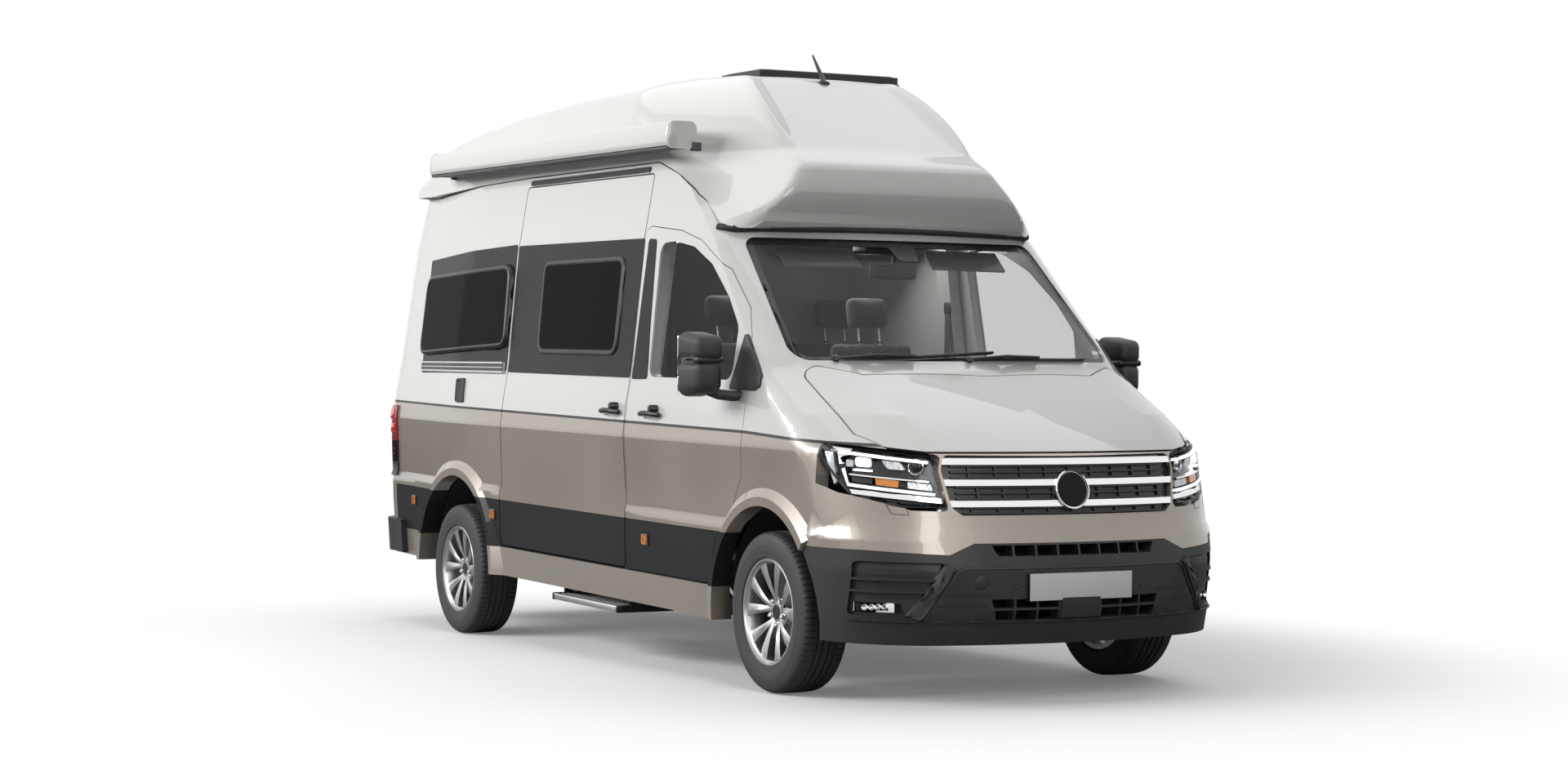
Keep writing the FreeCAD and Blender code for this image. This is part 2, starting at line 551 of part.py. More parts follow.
bumper = bumper.cut([front_arch, face_prism(FOG_SHARES, g.lamp_start_x, front), recess] + air_ways)
feature("front_bumper", bumper.fuse(mirror(bumper)))
grille_room = grille_outline(-g.seat_gap)
grille = half_skin(g.grille_set, g.skin_wall, ahead).common(grille_room)
bar_skin = half_skin(0, g.grille_set + g.fit_gap, ahead).common(grille_room)
bars = [bar_skin.common(box(0, front, 0, front, share * g.full_height - g.bar_tall / 2,
                            share * g.full_height + g.bar_tall / 2)) for share in GRILLE_BAR_SHARES]
grille = grille.fuse(bars)
feature("grille", grille.fuse(mirror(grille)))
feature("headlamps", both(thin_skin.common(lamp_outline(-g.seat_gap, g.lamp_start_x))))

# Cab doors with their glass and mirrors
near_cab = box(g.split_x - g.overrun / 2, front, g.overrun, front, 0, front)
door = door_skin.common(near_cab).common(cab_door_outline(-gap / 2))
door = door.cut(left_prism(CAB_WINDOW_SHARES, g.corner_round)).fuse(handle(g.door_handle_x))
pair("cab_door", door)
pair("cab_door_glass", pane_skin.common(left_prism(CAB_WINDOW_SHARES, g.corner_round, -g.seat_gap)))
mirror_rear_x, mirror_front_x = g.mirror_x - g.mirror_depth / 2, g.mirror_x + g.mirror_depth / 2
mirror_top_z = g.mirror_low_z + g.mirror_tall
head_wire = loop([Vector(mirror_rear_x, 0, g.mirror_low_z), Vector(mirror_front_x, 0, g.mirror_low_z),
                  Vector(mirror_front_x + g.mirror_bulge, 0, g.mirror_low_z + g.mirror_tall / 3),
                  Vector(mirror_front_x, 0, mirror_top_z), Vector(mirror_rear_x, 0, mirror_top_z)], g.mirror_depth / 4)
head = Part.Face(head_wire).extrude(AY * g.mirror_wide)
head.translate(AY * (g.mirror_tip_y - g.mirror_wide))
arm = rod(g.mirror_arm / 2, Vector(g.mirror_x, g.mirror_foot_y, g.mirror_foot_z),
          Vector(g.mirror_x, g.mirror_tip_y - g.mirror_wide / 2, g.mirror_foot_z + g.mirror_arm))
clear_hull = hull(-g.seat_gap, True)
pair("mirror", head.fuse(arm).cut(clear_hull))

# Panes fixed in the sides, one node
proud_skin = half_skin(-g.pane_out, g.glass_set, left_half)
rear_pane = proud_skin.common(left_prism(REAR_WINDOW_SHARES, g.window_round, -g.seat_gap))
slide_pane = pane_skin.common(left_prism(SLIDER_WINDOW_SHARES, g.window_round, -g.seat_gap))
feature("side_windows", Part.makeCompound([rear_pane, mirror(rear_pane), mirror(slide_pane)]))

# Rear wing doors and their glass
wing_room = face_prism(REAR_DOOR_SHARES, -front, -g.rear_face_depth, g.corner_round / 3, -gap / 2)
pane_room = face_prism(REAR_PANE_SHARES, -front, -g.rear_face_depth, g.corner_round)
pair("rear_door", door_skin.common(wing_room).cut(pane_room))
pane_room = face_prism(REAR_PANE_SHARES, -front, -g.rear_face_depth, g.corner_round, -g.seat_gap)
pair("rear_door_glass", pane_skin.common(pane_room))

# Plain primitives bound to the sheet
def bind(item, links):
    for path, text in links:
        item.setExpression(path, bound(text))


def bar(label, lengths, corner):
    """A box: length, width and height, and the place of its low corner, all as expressions."""
    item = doc.addObject("Part::Box", label)
    bind(item, list(zip(("Length", "Width", "Height"), lengths)))
    bind(item, list(zip(("Placement.Base.x", "Placement.Base.y", "Placement.Base.z"), corner)))
    return item


def keep(item, label, raked=True):
    """Takes a finished document object as a node, turned with the body's rake."""
    doc.recompute()
    item.Label = label + "_form"
    return feature(label, item.Shape, RAKE if raked else LEVEL)


# Underbody: floor, long rails, wheel housings
def tub(side, centre_x, centre_z, radius, depth):
    centre = Vector(centre_x, side * (depth - g.tub_wall), centre_z)
    edge = Vector(centre_x, side * (g.floor_half - g.tub_wall), centre_z)
    outside = rod(radius + g.tub_wall, centre, edge)
    inside = rod(radius, centre + Vector(0, side * g.tub_wall, 0), edge + Vector(0, side * g.overrun, 0))
    upper = box(centre_x - radius * 2, centre_x + radius * 2, -front, front, g.floor_top - g.floor_thick, front)
    return outside.cut(inside).common(upper)


floor_low = g.floor_top - g.floor_thick
floor = box(g.floor_rear_x, g.floor_front_x, -g.floor_half, g.floor_half, floor_low, g.floor_top)
rails = [box(g.floor_rear_x, g.rail_front_x, side * g.rail_y, side * (g.rail_y + g.rail_width),
             floor_low - g.rail_height, floor_low) for name, side in SIDES]
firewall = box(g.floor_front_x - g.floor_thick, g.floor_front_x, -g.firewall_half, g.firewall_half,
               g.floor_top, g.firewall_top)
tubs = []
holes = []
for name, side in SIDES:
    for spot in ((front_x, g.arch_centre_front_z, g.arch_radius_front, g.tub_inner),
                 (rear_x, g.arch_centre_rear_z, g.arch_radius_rear, g.tub_inner_rear)):
        tubs.append(tub(side, *spot))
        holes.append(arch(side, *spot))
for name, side in SIDES:
    rails.append(box(g.floor_front_x - g.rail_back, front, side * (g.engine_wide / 2 + g.seat_gap),
                     side * (g.engine_wide / 2 + g.rail_width), g.floor_top, g.floor_top + g.rail_height))
plates = [box(x, x + g.plate_thick, -g.step_outer_y + g.step_inset, -g.step_outer_y + g.step_wide,
              g.step_z, floor_low) for x in (g.step_x - g.door_clear - g.plate_thick,
                                             g.step_x + g.step_long + g.door_clear)]
floor = fuse(floor, firewall, *rails, *tubs, *plates)
keep_in = hull(g.wall + g.seat_gap, True)
feature("underbody", floor.common(keep_in).cut(holes))

# Awning case along the right edge of the roof
case = doc.addObject("Part::Box", "awning_box")
bind(case, [("Length", "awning_length"), ("Width", "awning_depth"), ("Height", "awning_height"),
            ("Placement.Base.x", "awning_rear_x"), ("Placement.Base.y", "-awning_outer_y"),
            ("Placement.Base.z", "awning_low_z")])
rounded_case = doc.addObject("Part::Fillet", "awning_round")
rounded_case.Base = case
doc.recompute()
long_edges = [i + 1 for i, edge in enumerate(case.Shape.Edges)
              if abs(edge.Length - g.awning_length) < g.seat_gap and edge.BoundBox.YMax < -g.awning_outer_y + g.seat_gap]
rounded_case.Edges = [(i, g.awning_round, g.awning_round) for i in long_edges]
doc.recompute()
roof_clear = roof_hull(-g.seat_gap)
feature("awning_case", rounded_case.Shape.cut(roof_clear).cut(clear_hull))

# Roof hatch: frame on the roof and its lid, and the aerial
hatch_frame = bar("hatch_frame_bar", ("hatch_long", "hatch_wide", "hatch_frame_tall"),
                  ("hatch_x", "hatch_middle_y - hatch_wide / 2", "hatch_z"))
doc.recompute()
feature("roof_hatch_frame", hatch_frame.Shape.cut(roof_clear).cut(
    box(g.hatch_x + g.hatch_rim, g.hatch_x + g.hatch_long - g.hatch_rim,
        g.hatch_middle_y - g.hatch_wide / 2 + g.hatch_rim, g.hatch_middle_y + g.hatch_wide / 2 - g.hatch_rim, 0, front)))
lid = bar("hatch_lid_bar", ("hatch_long", "hatch_wide", "hatch_lid_tall"),
          ("hatch_x", "hatch_middle_y - hatch_wide / 2", "hatch_z + hatch_frame_tall + seat_gap"))
keep(lid, "roof_hatch_lid")
mast = Part.makeCone(g.aerial_radius, g.aerial_radius / 3, g.aerial_tall, Vector(g.aerial_x, 0, g.aerial_z),
                     Vector(-math.sin(math.radians(g.aerial_lean)), 0, math.cos(math.radians(g.aerial_lean))))
below_slope = side_region([(0.0000, 0.6732), (0.0000, 0.9741)] + ROOF_SIDE_SHARES[6:8] + [(0.4203, 0.6732)], 0, g.seat_gap)
feature("roof_aerial", mast.cut(below_slope))

# Rear bumper, tail lamps, step
bumper_box = box(g.rear_bumper_x, g.rear_bumper_front_x, -front, front, g.rear_bumper_low, g.rear_bumper_top)
rear_bumper = hull(-g.rear_bumper_out).common(bumper_box).cut(clear_hull)
feature("rear_bumper", rear_bumper)
room = box(-front, g.tail_lamp_front_x, g.tail_lamp_inner, front, g.tail_lamp_low, g.tail_lamp_top)
feature("tail_lamps", both(hull(-g.tail_lamp_out).common(room).cut(clear_hull)))
step = bar("entry_step_bar", ("step_long", "step_wide", "step_thick"),
           ("step_x", "-step_outer_y", "step_z"))
doc.recompute()
runners = [box(x0, x1, -g.step_outer_y + g.step_wide - g.runner_long, -g.step_outer_y + g.step_wide,
               g.step_z, g.step_z + g.step_thick)
           for x0, x1 in ((g.step_x - g.door_clear + g.seat_gap, g.step_x),
                          (g.step_x + g.step_long, g.step_x + g.step_long + g.door_clear - g.seat_gap))]
feature("entry_step", fuse(step.Shape, *runners))

# Engine, front subframe and arms
engine = bar("engine_bar", ("engine_long", "engine_wide", "engine_tall"),
             ("engine_x", "-engine_wide / 2", "engine_z"))
keep(engine, "engine_block")
frame_bar = bar("subframe_bar", ("subframe_long", "subframe_wide", "subframe_tall"),
                ("front_axle_x - subframe_long / 2", "-subframe_wide / 2", "subframe_z"))
doc.recompute()
arms = []
struts = []
for name, side in SIDES:
    inner_end = Vector(g.front_axle_x, side * (g.subframe_wide / 2 - g.arm_radius), g.subframe_z + g.arm_radius)
    lean = math.tan(math.radians(g.kingpin_lean))
    outer_end = Vector(g.front_axle_x, side * (g.kingpin_y - (g.arm_end_z - g.tyre_radius) * lean), g.arm_end_z)
    stud_top = g.knuckle_low_z - g.seat_gap
    stud_end = Vector(g.front_axle_x, side * (g.kingpin_y - (stud_top - g.tyre_radius) * lean), stud_top)
    arms.append(rod(g.arm_radius, inner_end, outer_end).fuse(rod(g.arm_radius / 2, outer_end, stud_end)))
    low = Vector(g.front_axle_x, side * (g.kingpin_y - (g.strut_low_z - g.tyre_radius) * lean), g.strut_low_z)
    high = Vector(g.front_axle_x, side * (g.kingpin_y - (g.strut_top_z - g.tyre_radius) * lean), g.strut_top_z)
    struts.append(rod(g.strut_radius, low, high))
posts = [box(x, x + g.wall, side * (g.engine_wide / 2 + g.seat_gap), side * (g.engine_wide / 2 + g.rail_width),
             g.subframe_z, g.floor_top) for name, side in SIDES
         for x in (g.front_axle_x - g.subframe_long / 2, g.front_axle_x + g.subframe_long / 2 - g.wall)]
above_rails = box(-front, front, -front, front, g.floor_top - g.seat_gap, g.full_height)
above_rails.Placement = RAKE.multiply(above_rails.Placement)
engine_room = box(g.engine_x - g.seat_gap, g.engine_x + g.engine_long + g.seat_gap, -g.engine_wide / 2 - g.seat_gap,
                  g.engine_wide / 2 + g.seat_gap, g.engine_z - g.seat_gap, g.full_height)
engine_room.Placement = RAKE.multiply(engine_room.Placement)
feature("front_subframe", fuse(frame_bar.Shape, *arms, *posts).cut([above_rails, engine_room]), LEVEL)
strut_rooms = []
for name, side in SIDES:
    room = arch(side, front_x, g.arch_centre_front_z, g.arch_radius_front - g.seat_gap, g.tub_inner)
    room.Placement = RAKE.multiply(room.Placement)
    strut_rooms.append(room)
struts = [strut.common(room) for strut, room in zip(struts, strut_rooms)]
feature("front_struts", Part.makeCompound(struts), LEVEL)

# Front knuckles with hub stub and caliper
for name, side in SIDES:
    lean = math.tan(math.radians(g.kingpin_lean))

    def pin_at(z):
        return Vector(g.front_axle_x, side * (g.kingpin_y - (z - g.tyre_radius) * lean), z)
    upright = rod(g.upright_radius, pin_at(g.knuckle_low_z), pin_at(g.knuckle_high_z))
    stub = rod(g.hub_bore - g.seat_gap, Vector(g.front_axle_x, side * (g.kingpin_y - g.upright_radius), g.tyre_radius),
               Vector(g.front_axle_x, side * g.stub_end_y, g.tyre_radius))
    caliper = box(g.front_axle_x - g.disc_radius - g.caliper_out, g.front_axle_x - g.caliper_in,
                  side * g.caliper_inner_y, side * g.caliper_outer_y,
                  g.tyre_radius - g.caliper_tall / 2, g.tyre_radius + g.caliper_tall / 2)
    disc_room = rod(g.disc_radius + g.fit_gap, Vector(g.front_axle_x, side * (g.disc_y - g.disc_thick / 2 - g.fit_gap), g.tyre_radius),
                    Vector(g.front_axle_x, side * (g.disc_y + g.disc_thick / 2 + g.fit_gap), g.tyre_radius))
    link = box(g.front_axle_x - g.caliper_in - g.caliper_tall / 2, g.front_axle_x, side * (g.caliper_inner_y - g.wall / 3),
               side * g.caliper_inner_y, g.tyre_radius - g.wall / 2, g.tyre_radius + g.wall / 2)
    feature("knuckle_" + name, fuse(upright, stub, caliper.cut(disc_room), link), LEVEL)

# Rear axle beam, springs, exhaust and tank
beam = rod(g.axle_radius, Vector(-(g.wheelbase - g.front_axle_x), -g.axle_half, g.tyre_radius),
           Vector(-(g.wheelbase - g.front_axle_x), g.axle_half, g.tyre_radius))
stubs = rod(g.hub_bore - g.seat_gap, Vector(-(g.wheelbase - g.front_axle_x), -g.rear_stub_y, g.tyre_radius),
            Vector(-(g.wheelbase - g.front_axle_x), g.rear_stub_y, g.tyre_radius))
springs = [box(-(g.wheelbase - g.front_axle_x) - g.spring_half, -(g.wheelbase - g.front_axle_x) + g.spring_half,
               side * g.spring_y, side * (g.spring_y + g.spring_wide),
               g.tyre_radius + g.axle_radius - g.fit_gap, g.tyre_radius + g.axle_radius + g.spring_thick)
           for name, side in SIDES]
shackles = [box(x, x + g.plate_thick * 2, side * g.spring_y, side * (g.spring_y + g.spring_wide),
                g.tyre_radius + g.axle_radius, g.floor_top) for name, side in SIDES
            for x in (g.front_axle_x - g.wheelbase - g.spring_half,
                      g.front_axle_x - g.wheelbase + g.spring_half - g.plate_thick * 2)]
rail_low = floor_low - g.rail_height - g.seat_gap
above_frame = box(-front, front, -front, front, rail_low, g.full_height)
above_frame.Placement = RAKE.multiply(above_frame.Placement)
feature("rear_axle", fuse(beam, stubs, *springs, *shackles).cut(above_frame), LEVEL)
tank = bar("tank_bar", ("tank_long", "tank_wide", "tank_tall"), ("tank_x", "tank_y", "floor_top - floor_thick - tank_tall - seat_gap"))
keep(tank, "fuel_tank")
pipe = rod(g.pipe_radius, Vector(g.pipe_front_x, -g.pipe_y, g.pipe_z), Vector(g.pipe_rear_x, -g.pipe_y, g.pipe_z))
silencer = rod(g.silencer_radius, Vector(g.silencer_x, -g.pipe_y, g.pipe_z),
               Vector(g.silencer_x + g.silencer_long, -g.pipe_y, g.pipe_z))
hangers = [box(x, x + g.plate_thick, -g.pipe_y - g.plate_thick / 2, -g.pipe_y + g.plate_thick / 2, g.pipe_z,
               floor_low - g.seat_gap) for x in (g.silencer_x + g.silencer_long / 2, g.pipe_front_x - g.wall * 2)]
feature("exhaust", fuse(pipe, silencer, *hangers))

# Wheels: one rim form and one tyre form, turned about the axle line
def revolve(points, rounding=0):
    """A profile of (radius, offset) turned about the Y axis."""
    wire = loop([Vector(r, y, 0) for r, y in points], rounding)
    return Part.Face(wire).revolve(Vector(0, 0, 0), AY, 360)


half_tyre, half_rim = g.tyre_width / 2, g.rim_width / 2
tread_half = half_tyre - g.shoulder
tyre_form = revolve([
    (g.rim_radius, -half_rim), (g.bulge_radius, -half_tyre), (g.tyre_radius - g.shoulder_drop, -tread_half),
    (g.tyre_radius, -tread_half + g.shoulder), (g.tyre_radius, tread_half - g.shoulder),
    (g.tyre_radius - g.shoulder_drop, tread_half), (g.bulge_radius, half_tyre), (g.rim_radius, half_rim)])
rim_inner = g.rim_radius - g.rim_wall
barrel = revolve([(rim_inner - g.rim_drop, -half_rim), (g.rim_radius - g.seat_gap, -half_rim),
                  (g.rim_radius - g.seat_gap, half_rim), (rim_inner, half_rim + g.rim_wall / 2),
                  (rim_inner - g.rim_drop, 0)])
hub = revolve([(g.hub_bore, g.face_in - g.wall), (g.hub_radius - g.rim_wall, g.face_in - g.wall),
               (g.hub_radius, g.face_in), (g.hub_radius / 2, g.face_out), (g.hub_bore, g.face_out)])
disc_face, disc_back = g.disc_off + g.disc_thick / 2, g.disc_off - g.disc_thick / 2
disc = revolve([(g.hub_bore, disc_back), (g.disc_radius, disc_back), (g.disc_radius, disc_face),
                (g.bell_radius, disc_face), (g.bell_radius, g.face_in - g.rim_wall), (g.hub_bore, g.face_in - g.rim_wall)])
spoke_wire = loop([Vector(g.hub_radius / 2, g.face_in, 0), Vector(g.rim_radius - g.rim_wall, g.face_in + g.rim_set, 0),
                   Vector(g.rim_radius - g.rim_wall, half_rim - g.rim_set / 2, 0), Vector(g.hub_radius / 2, g.face_out - g.rim_set, 0)])
spoke = Part.Face(spoke_wire).extrude(Vector(0, 0, g.spoke_width))
spoke.translate(Vector(0, 0, -g.spoke_width / 2))
spokes = []
for i in range(5):
    for lean in (-1, 1):
        arm = spoke.copy()
        arm.rotate(Vector(0, 0, 0), AY, i * 72 + lean * g.spoke_pair_angle / 2)
        spokes.append(arm)
rim_form = fuse(barrel, hub, disc, *spokes)
WHEELS = (("front_right", -1, g.front_axle_x, g.track_front), ("front_left", 1, g.front_axle_x, g.track_front),
          ("rear_right", -1, g.front_axle_x - g.wheelbase, g.track_rear),
          ("rear_left", 1, g.front_axle_x - g.wheelbase, g.track_rear))
for name, side, x, track in WHEELS:
    turn = FreeCAD.Rotation(AZ, 0 if side > 0 else 180)
    place = FreeCAD.Placement(Vector(x, side * track / 2, g.tyre_radius), turn)
    feature("tyre_" + name, tyre_form.copy(), place)
    feature("rim_" + name, rim_form.copy(), place)

# Cab interior

dash_front = g.floor_front_x - g.floor_thick - g.seat_gap
dash_wire = loop([Vector(g.dash_rear_x, 0, g.dash_top_z), Vector(dash_front, 0, g.dash_top_z + g.rim_set),
                  Vector(dash_front, 0, g.dash_low_z), Vector(g.dash_rear_x + g.wall, 0, g.dash_low_z)], g.rim_wall * 2)
dashboard = Part.Face(dash_wire).extrude(AY * g.dash_half * 2)
dashboard.translate(Vector(0, -g.dash_half, 0))


# Steering wheel: rim, spokes and column, about its own sloping axis
lean = math.radians(g.wheel_lean)
column = Vector(-math.cos(lean), 0, math.sin(lean))
centre = Vector(g.wheel_x, g.driver_y, g.wheel_z)
corner_angles = [math.radians(45 * i + 22.5) for i in range(8)]
grip_wire = Part.makePolygon([Vector(g.wheel_ring + g.wheel_grip * math.cos(a), 0, g.wheel_grip * math.sin(a))
                              for a in corner_angles + corner_angles[:1]])
ring_form = Part.Face(grip_wire).revolve(Vector(0, 0, 0), AZ, 360)
ring_form.Placement = FreeCAD.Placement(centre, FreeCAD.Rotation(AZ, column))
boss = rod(g.wheel_boss, centre - column * g.wheel_grip * 2, centre + column * g.wheel_grip)
cross = []
for angle in (0, 180, 270):
    arm = Part.makeBox(g.wheel_ring, g.wheel_grip * 2, g.wheel_grip, Vector(0, -g.wheel_grip, -g.wheel_grip / 2))
    arm.rotate(Vector(0, 0, 0), AZ, angle + 90)
    arm.Placement = FreeCAD.Placement(centre, FreeCAD.Rotation(AZ, column)).multiply(arm.Placement)
    cross.append(arm)
shaft = rod(g.wheel_grip, centre - column * g.wheel_grip, centre - column * g.column_long)
feature("steering_wheel", fuse(ring_form, boss, shaft, *cross))
cowl = rod(g.column_case, centre - column * g.column_gap, centre - column * (g.column_long + g.wall))
cowl = cowl.cut(rod(g.wheel_grip + g.seat_gap, centre, centre - column * (g.column_long + g.fit_gap)))
shaft_room = rod(g.wheel_grip + g.seat_gap, centre, centre - column * (g.column_long + g.fit_gap))
dash_form = dashboard.common(hull(g.wall * 2, True)).cut(shaft_room)
feature("dashboard", dash_form.fuse(cowl).cut(shaft_room))


def seat(x, y, width, base_z, head_rests):
    """A seat: base box, cushion, leaning back and head restraints, as one solid."""
    cushion = box(x, x + g.seat_deep, y - width / 2, y + width / 2, base_z + g.seat_base, base_z + g.seat_base + g.cushion)
    plinth = box(x + g.seat_inset, x + g.seat_deep - g.seat_inset, y - width / 2 + g.seat_inset, y + width / 2 - g.seat_inset,
                 base_z + g.seat_gap, base_z + g.seat_base)
    back = Part.makeBox(g.cushion, width, g.back_tall, Vector(-g.cushion, -width / 2, 0))
    parts = [cushion, plinth]
    rest = [Part.makeBox(g.rest_thick, g.rest_wide, g.rest_tall, Vector(-g.rest_thick - g.seat_inset / 2, off - g.rest_wide / 2,
                                                                   g.back_tall + g.rest_gap)) for off in head_rests]
    post = [Part.makeBox(g.post_thick, g.post_thick, g.rest_gap * 2, Vector(-g.rest_thick / 2 - g.seat_inset / 2 - g.post_thick / 2,
                                                                       off + k * g.rest_wide / 4 - g.post_thick / 2,
                                                                       g.back_tall - g.rest_gap / 2))
            for off in head_rests for k in (-1, 1)]
    place = FreeCAD.Placement(Vector(x + g.cushion, y, base_z + g.seat_base + g.cushion / 2),
                              FreeCAD.Rotation(AY, -g.back_lean))
    for piece in [back] + rest + post:
        piece.Placement = place.multiply(piece.Placement)
        parts.append(piece)
    return fuse(*parts)


cab_seats = [seat(g.cab_seat_x, side * g.driver_y, g.cab_seat_wide, g.floor_top, (0,)) for name, side in SIDES]
feature("cab_seats", Part.makeCompound(cab_seats))
feature("rear_bench", seat(g.bench_x, g.bench_y, g.bench_wide, g.floor_top,
                           (-g.bench_wide / 4, g.bench_wide / 4)))
kitchen = box(g.kitchen_x, g.kitchen_x + g.kitchen_long, -g.kitchen_outer_y, -g.kitchen_outer_y + g.kitchen_deep,
              g.floor_top + g.seat_gap, g.kitchen_top)
washroom = box(g.wash_x, g.wash_x + g.wash_long, g.wash_inner_y, g.wash_inner_y + g.wash_deep,
               g.floor_top + g.seat_gap, g.wash_top)
inside = hull(g.wall + g.seat_gap, True)
tub_rooms = [arch(side, rear_x, g.arch_centre_rear_z, g.arch_radius_rear + g.tub_wall + g.seat_gap,
                  g.tub_inner_rear - g.tub_wall - g.seat_gap) for name, side in SIDES]
feature("kitchen_unit", kitchen.common(inside).cut(tub_rooms))
feature("washroom", washroom.common(inside).cut(tub_rooms))
bed = box(g.bed_x, g.bed_x + g.bed_long, -g.bed_half, g.bed_half, g.bed_low, g.bed_low + g.bed_thick)
feature("rear_bed", bed.common(inside))

bad = []
doc.recompute()
for item in doc.Objects:
    if "Invalid" in item.State or "Error" in item.State:
        bad.append(item.Label)
for item in nodes:
    if item.Shape.isNull() or not item.Shape.isValid() or not item.Shape.Solids:
        bad.append(item.Label)
if bad:
    raise RuntimeError("pieces without a sound solid: " + ", ".join(bad))
os.makedirs("parts", exist_ok=True)
for item in nodes:
    item.Shape.exportStep(os.path.join("parts", item.Label + ".step"))
    print(item.Label, len(item.Shape.Solids), round(item.Shape.Volume / 1e6, 2))
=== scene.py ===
# %% [markdown]
# # A panel-van camper with a moulded high roof
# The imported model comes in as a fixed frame: every panel, door and wheel is already at its real place and
# size. This lesson dresses it. Panels get smooth shading and paint, and the small parts that a person sees
# from a step away are modelled one by one and made to ride on the panel that carries them.

# %% Load the frame
import json
import math
import bpy
import bmesh
from mathutils import Matrix, Vector
from mathutils.bvhtree import BVHTree

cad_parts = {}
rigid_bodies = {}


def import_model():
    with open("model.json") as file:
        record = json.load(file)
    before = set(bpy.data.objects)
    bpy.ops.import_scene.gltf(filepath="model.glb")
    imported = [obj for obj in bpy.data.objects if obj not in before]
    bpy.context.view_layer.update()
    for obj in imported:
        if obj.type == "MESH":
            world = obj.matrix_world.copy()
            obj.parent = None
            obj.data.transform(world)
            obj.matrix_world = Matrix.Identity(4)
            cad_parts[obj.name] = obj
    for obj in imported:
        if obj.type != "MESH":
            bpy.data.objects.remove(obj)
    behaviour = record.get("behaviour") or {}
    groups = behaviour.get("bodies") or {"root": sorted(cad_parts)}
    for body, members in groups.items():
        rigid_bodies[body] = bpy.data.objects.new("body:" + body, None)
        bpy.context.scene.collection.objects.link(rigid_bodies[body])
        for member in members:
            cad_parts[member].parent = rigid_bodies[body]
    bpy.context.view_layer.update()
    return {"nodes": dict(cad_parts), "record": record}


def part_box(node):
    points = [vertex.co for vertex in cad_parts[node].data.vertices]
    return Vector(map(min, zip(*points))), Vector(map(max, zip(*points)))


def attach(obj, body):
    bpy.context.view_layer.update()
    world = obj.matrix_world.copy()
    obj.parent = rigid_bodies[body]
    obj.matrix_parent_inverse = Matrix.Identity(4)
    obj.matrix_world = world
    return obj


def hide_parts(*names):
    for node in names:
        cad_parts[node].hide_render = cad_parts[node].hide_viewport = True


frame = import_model()

# %% [markdown]
# The van stands a little nose down, as it does when it is empty. It is easier to think in the body's own
# level frame, so pieces are first made level and then turned by this small rake, the same turn that the
# panels have.

# %% The rake of the body
RAKE_DEGREES, RAKE_HEIGHT = 1.4, 0.350
RAKE = (Matrix.Translation((0, 0, RAKE_HEIGHT)) @ Matrix.Rotation(math.radians(RAKE_DEGREES), 4, "Y")
        @ Matrix.Translation((0, 0, -RAKE_HEIGHT)))
UNRAKE = RAKE.inverted()

# %% [markdown]
# A few small helpers carry the whole lesson. One turns a finished bmesh into an object that rides on a body.
# Others make slabs, blocks, turned shapes and tubes. The last ones find the point on a real panel behind a
# place seen from the side, the front or above, so that a part is always seated, and measure a panel of the
# frame.


# %% Helpers for pieces
def fresh_shading(mesh, smooth):
    """Smooth shading with sharp edges from the angle. Normals that came with the panels are dropped first."""
    if "custom_normal" in mesh.attributes:
        mesh.attributes.remove(mesh.attributes["custom_normal"])
    mesh.shade_smooth()
    mesh.set_sharp_from_angle(angle=math.radians(smooth))


def finish_mesh(name, bm, material, body, smooth=35, raked=True):
    """A bmesh becomes an object at the origin that rides on a body of the frame."""
    bmesh.ops.remove_doubles(bm, verts=bm.verts, dist=0.00002)
    bmesh.ops.recalc_face_normals(bm, faces=bm.faces)
    if raked:
        bmesh.ops.transform(bm, matrix=RAKE, verts=bm.verts)
    mesh = bpy.data.meshes.new(name)
    bm.to_mesh(mesh)
    bm.free()
    piece = bpy.data.objects.new(name, mesh)
    bpy.context.scene.collection.objects.link(piece)
    materials = material if isinstance(material, (list, tuple)) else [material]
    for entry in materials:
        mesh.materials.append(entry)
    fresh_shading(mesh, smooth)
    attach(piece, body)
    return piece


def add_slab(bm, corners, pull, bevel=0.0, segments=3, material=0):
    """A flat outline of corner points pulled along a vector into a block with rounded edges."""
    verts = [bm.verts.new(corner) for corner in corners]
    face = bm.faces.new(verts)
    grown = bmesh.ops.extrude_face_region(bm, geom=[face])
    moved = [v for v in grown["geom"] if isinstance(v, bmesh.types.BMVert)]
    bmesh.ops.translate(bm, vec=Vector(pull), verts=moved)
    verts = set(verts + moved)
    edges = [e for e in bm.edges if e.verts[0] in verts and e.verts[1] in verts]
    faces = [f for f in bm.faces if all(v in verts for v in f.verts)]
    for f in faces:
        f.material_index = material
    if bevel:
        cut = bmesh.ops.bevel(bm, geom=edges, offset=bevel, segments=segments, profile=0.5,
                              affect="EDGES", material=-1)
        faces = cut["faces"]
    return faces


def add_block(bm, low, high, bevel=0.0, segments=3, material=0):
    """A block between two corners with rounded edges."""
    (x0, y0, z0), (x1, y1, z1) = low, high
    corners = [(x0, y0, z0), (x1, y0, z0), (x1, y1, z0), (x0, y1, z0)]
    return add_slab(bm, corners, (0, 0, z1 - z0), bevel, segments, material)


def add_turned(bm, profile, centre, axis, steps=48, material=0):
    """A closed profile of (distance along the axis, radius) spun about an axis."""
    axis = Vector(axis).normalized()
    across = axis.orthogonal().normalized()
    points = [Vector(centre) + axis * a + across * r for a, r in profile]
    verts = [bm.verts.new(p) for p in points]
    edges = [bm.edges.new((verts[i], verts[(i + 1) % len(verts)])) for i in range(len(verts))]
    before = set(bm.faces)
    bmesh.ops.spin(bm, geom=verts + edges, cent=Vector(centre), axis=axis, angle=math.tau, steps=steps,
                   use_merge=True)
    for face in set(bm.faces) - before:
        face.material_index = material


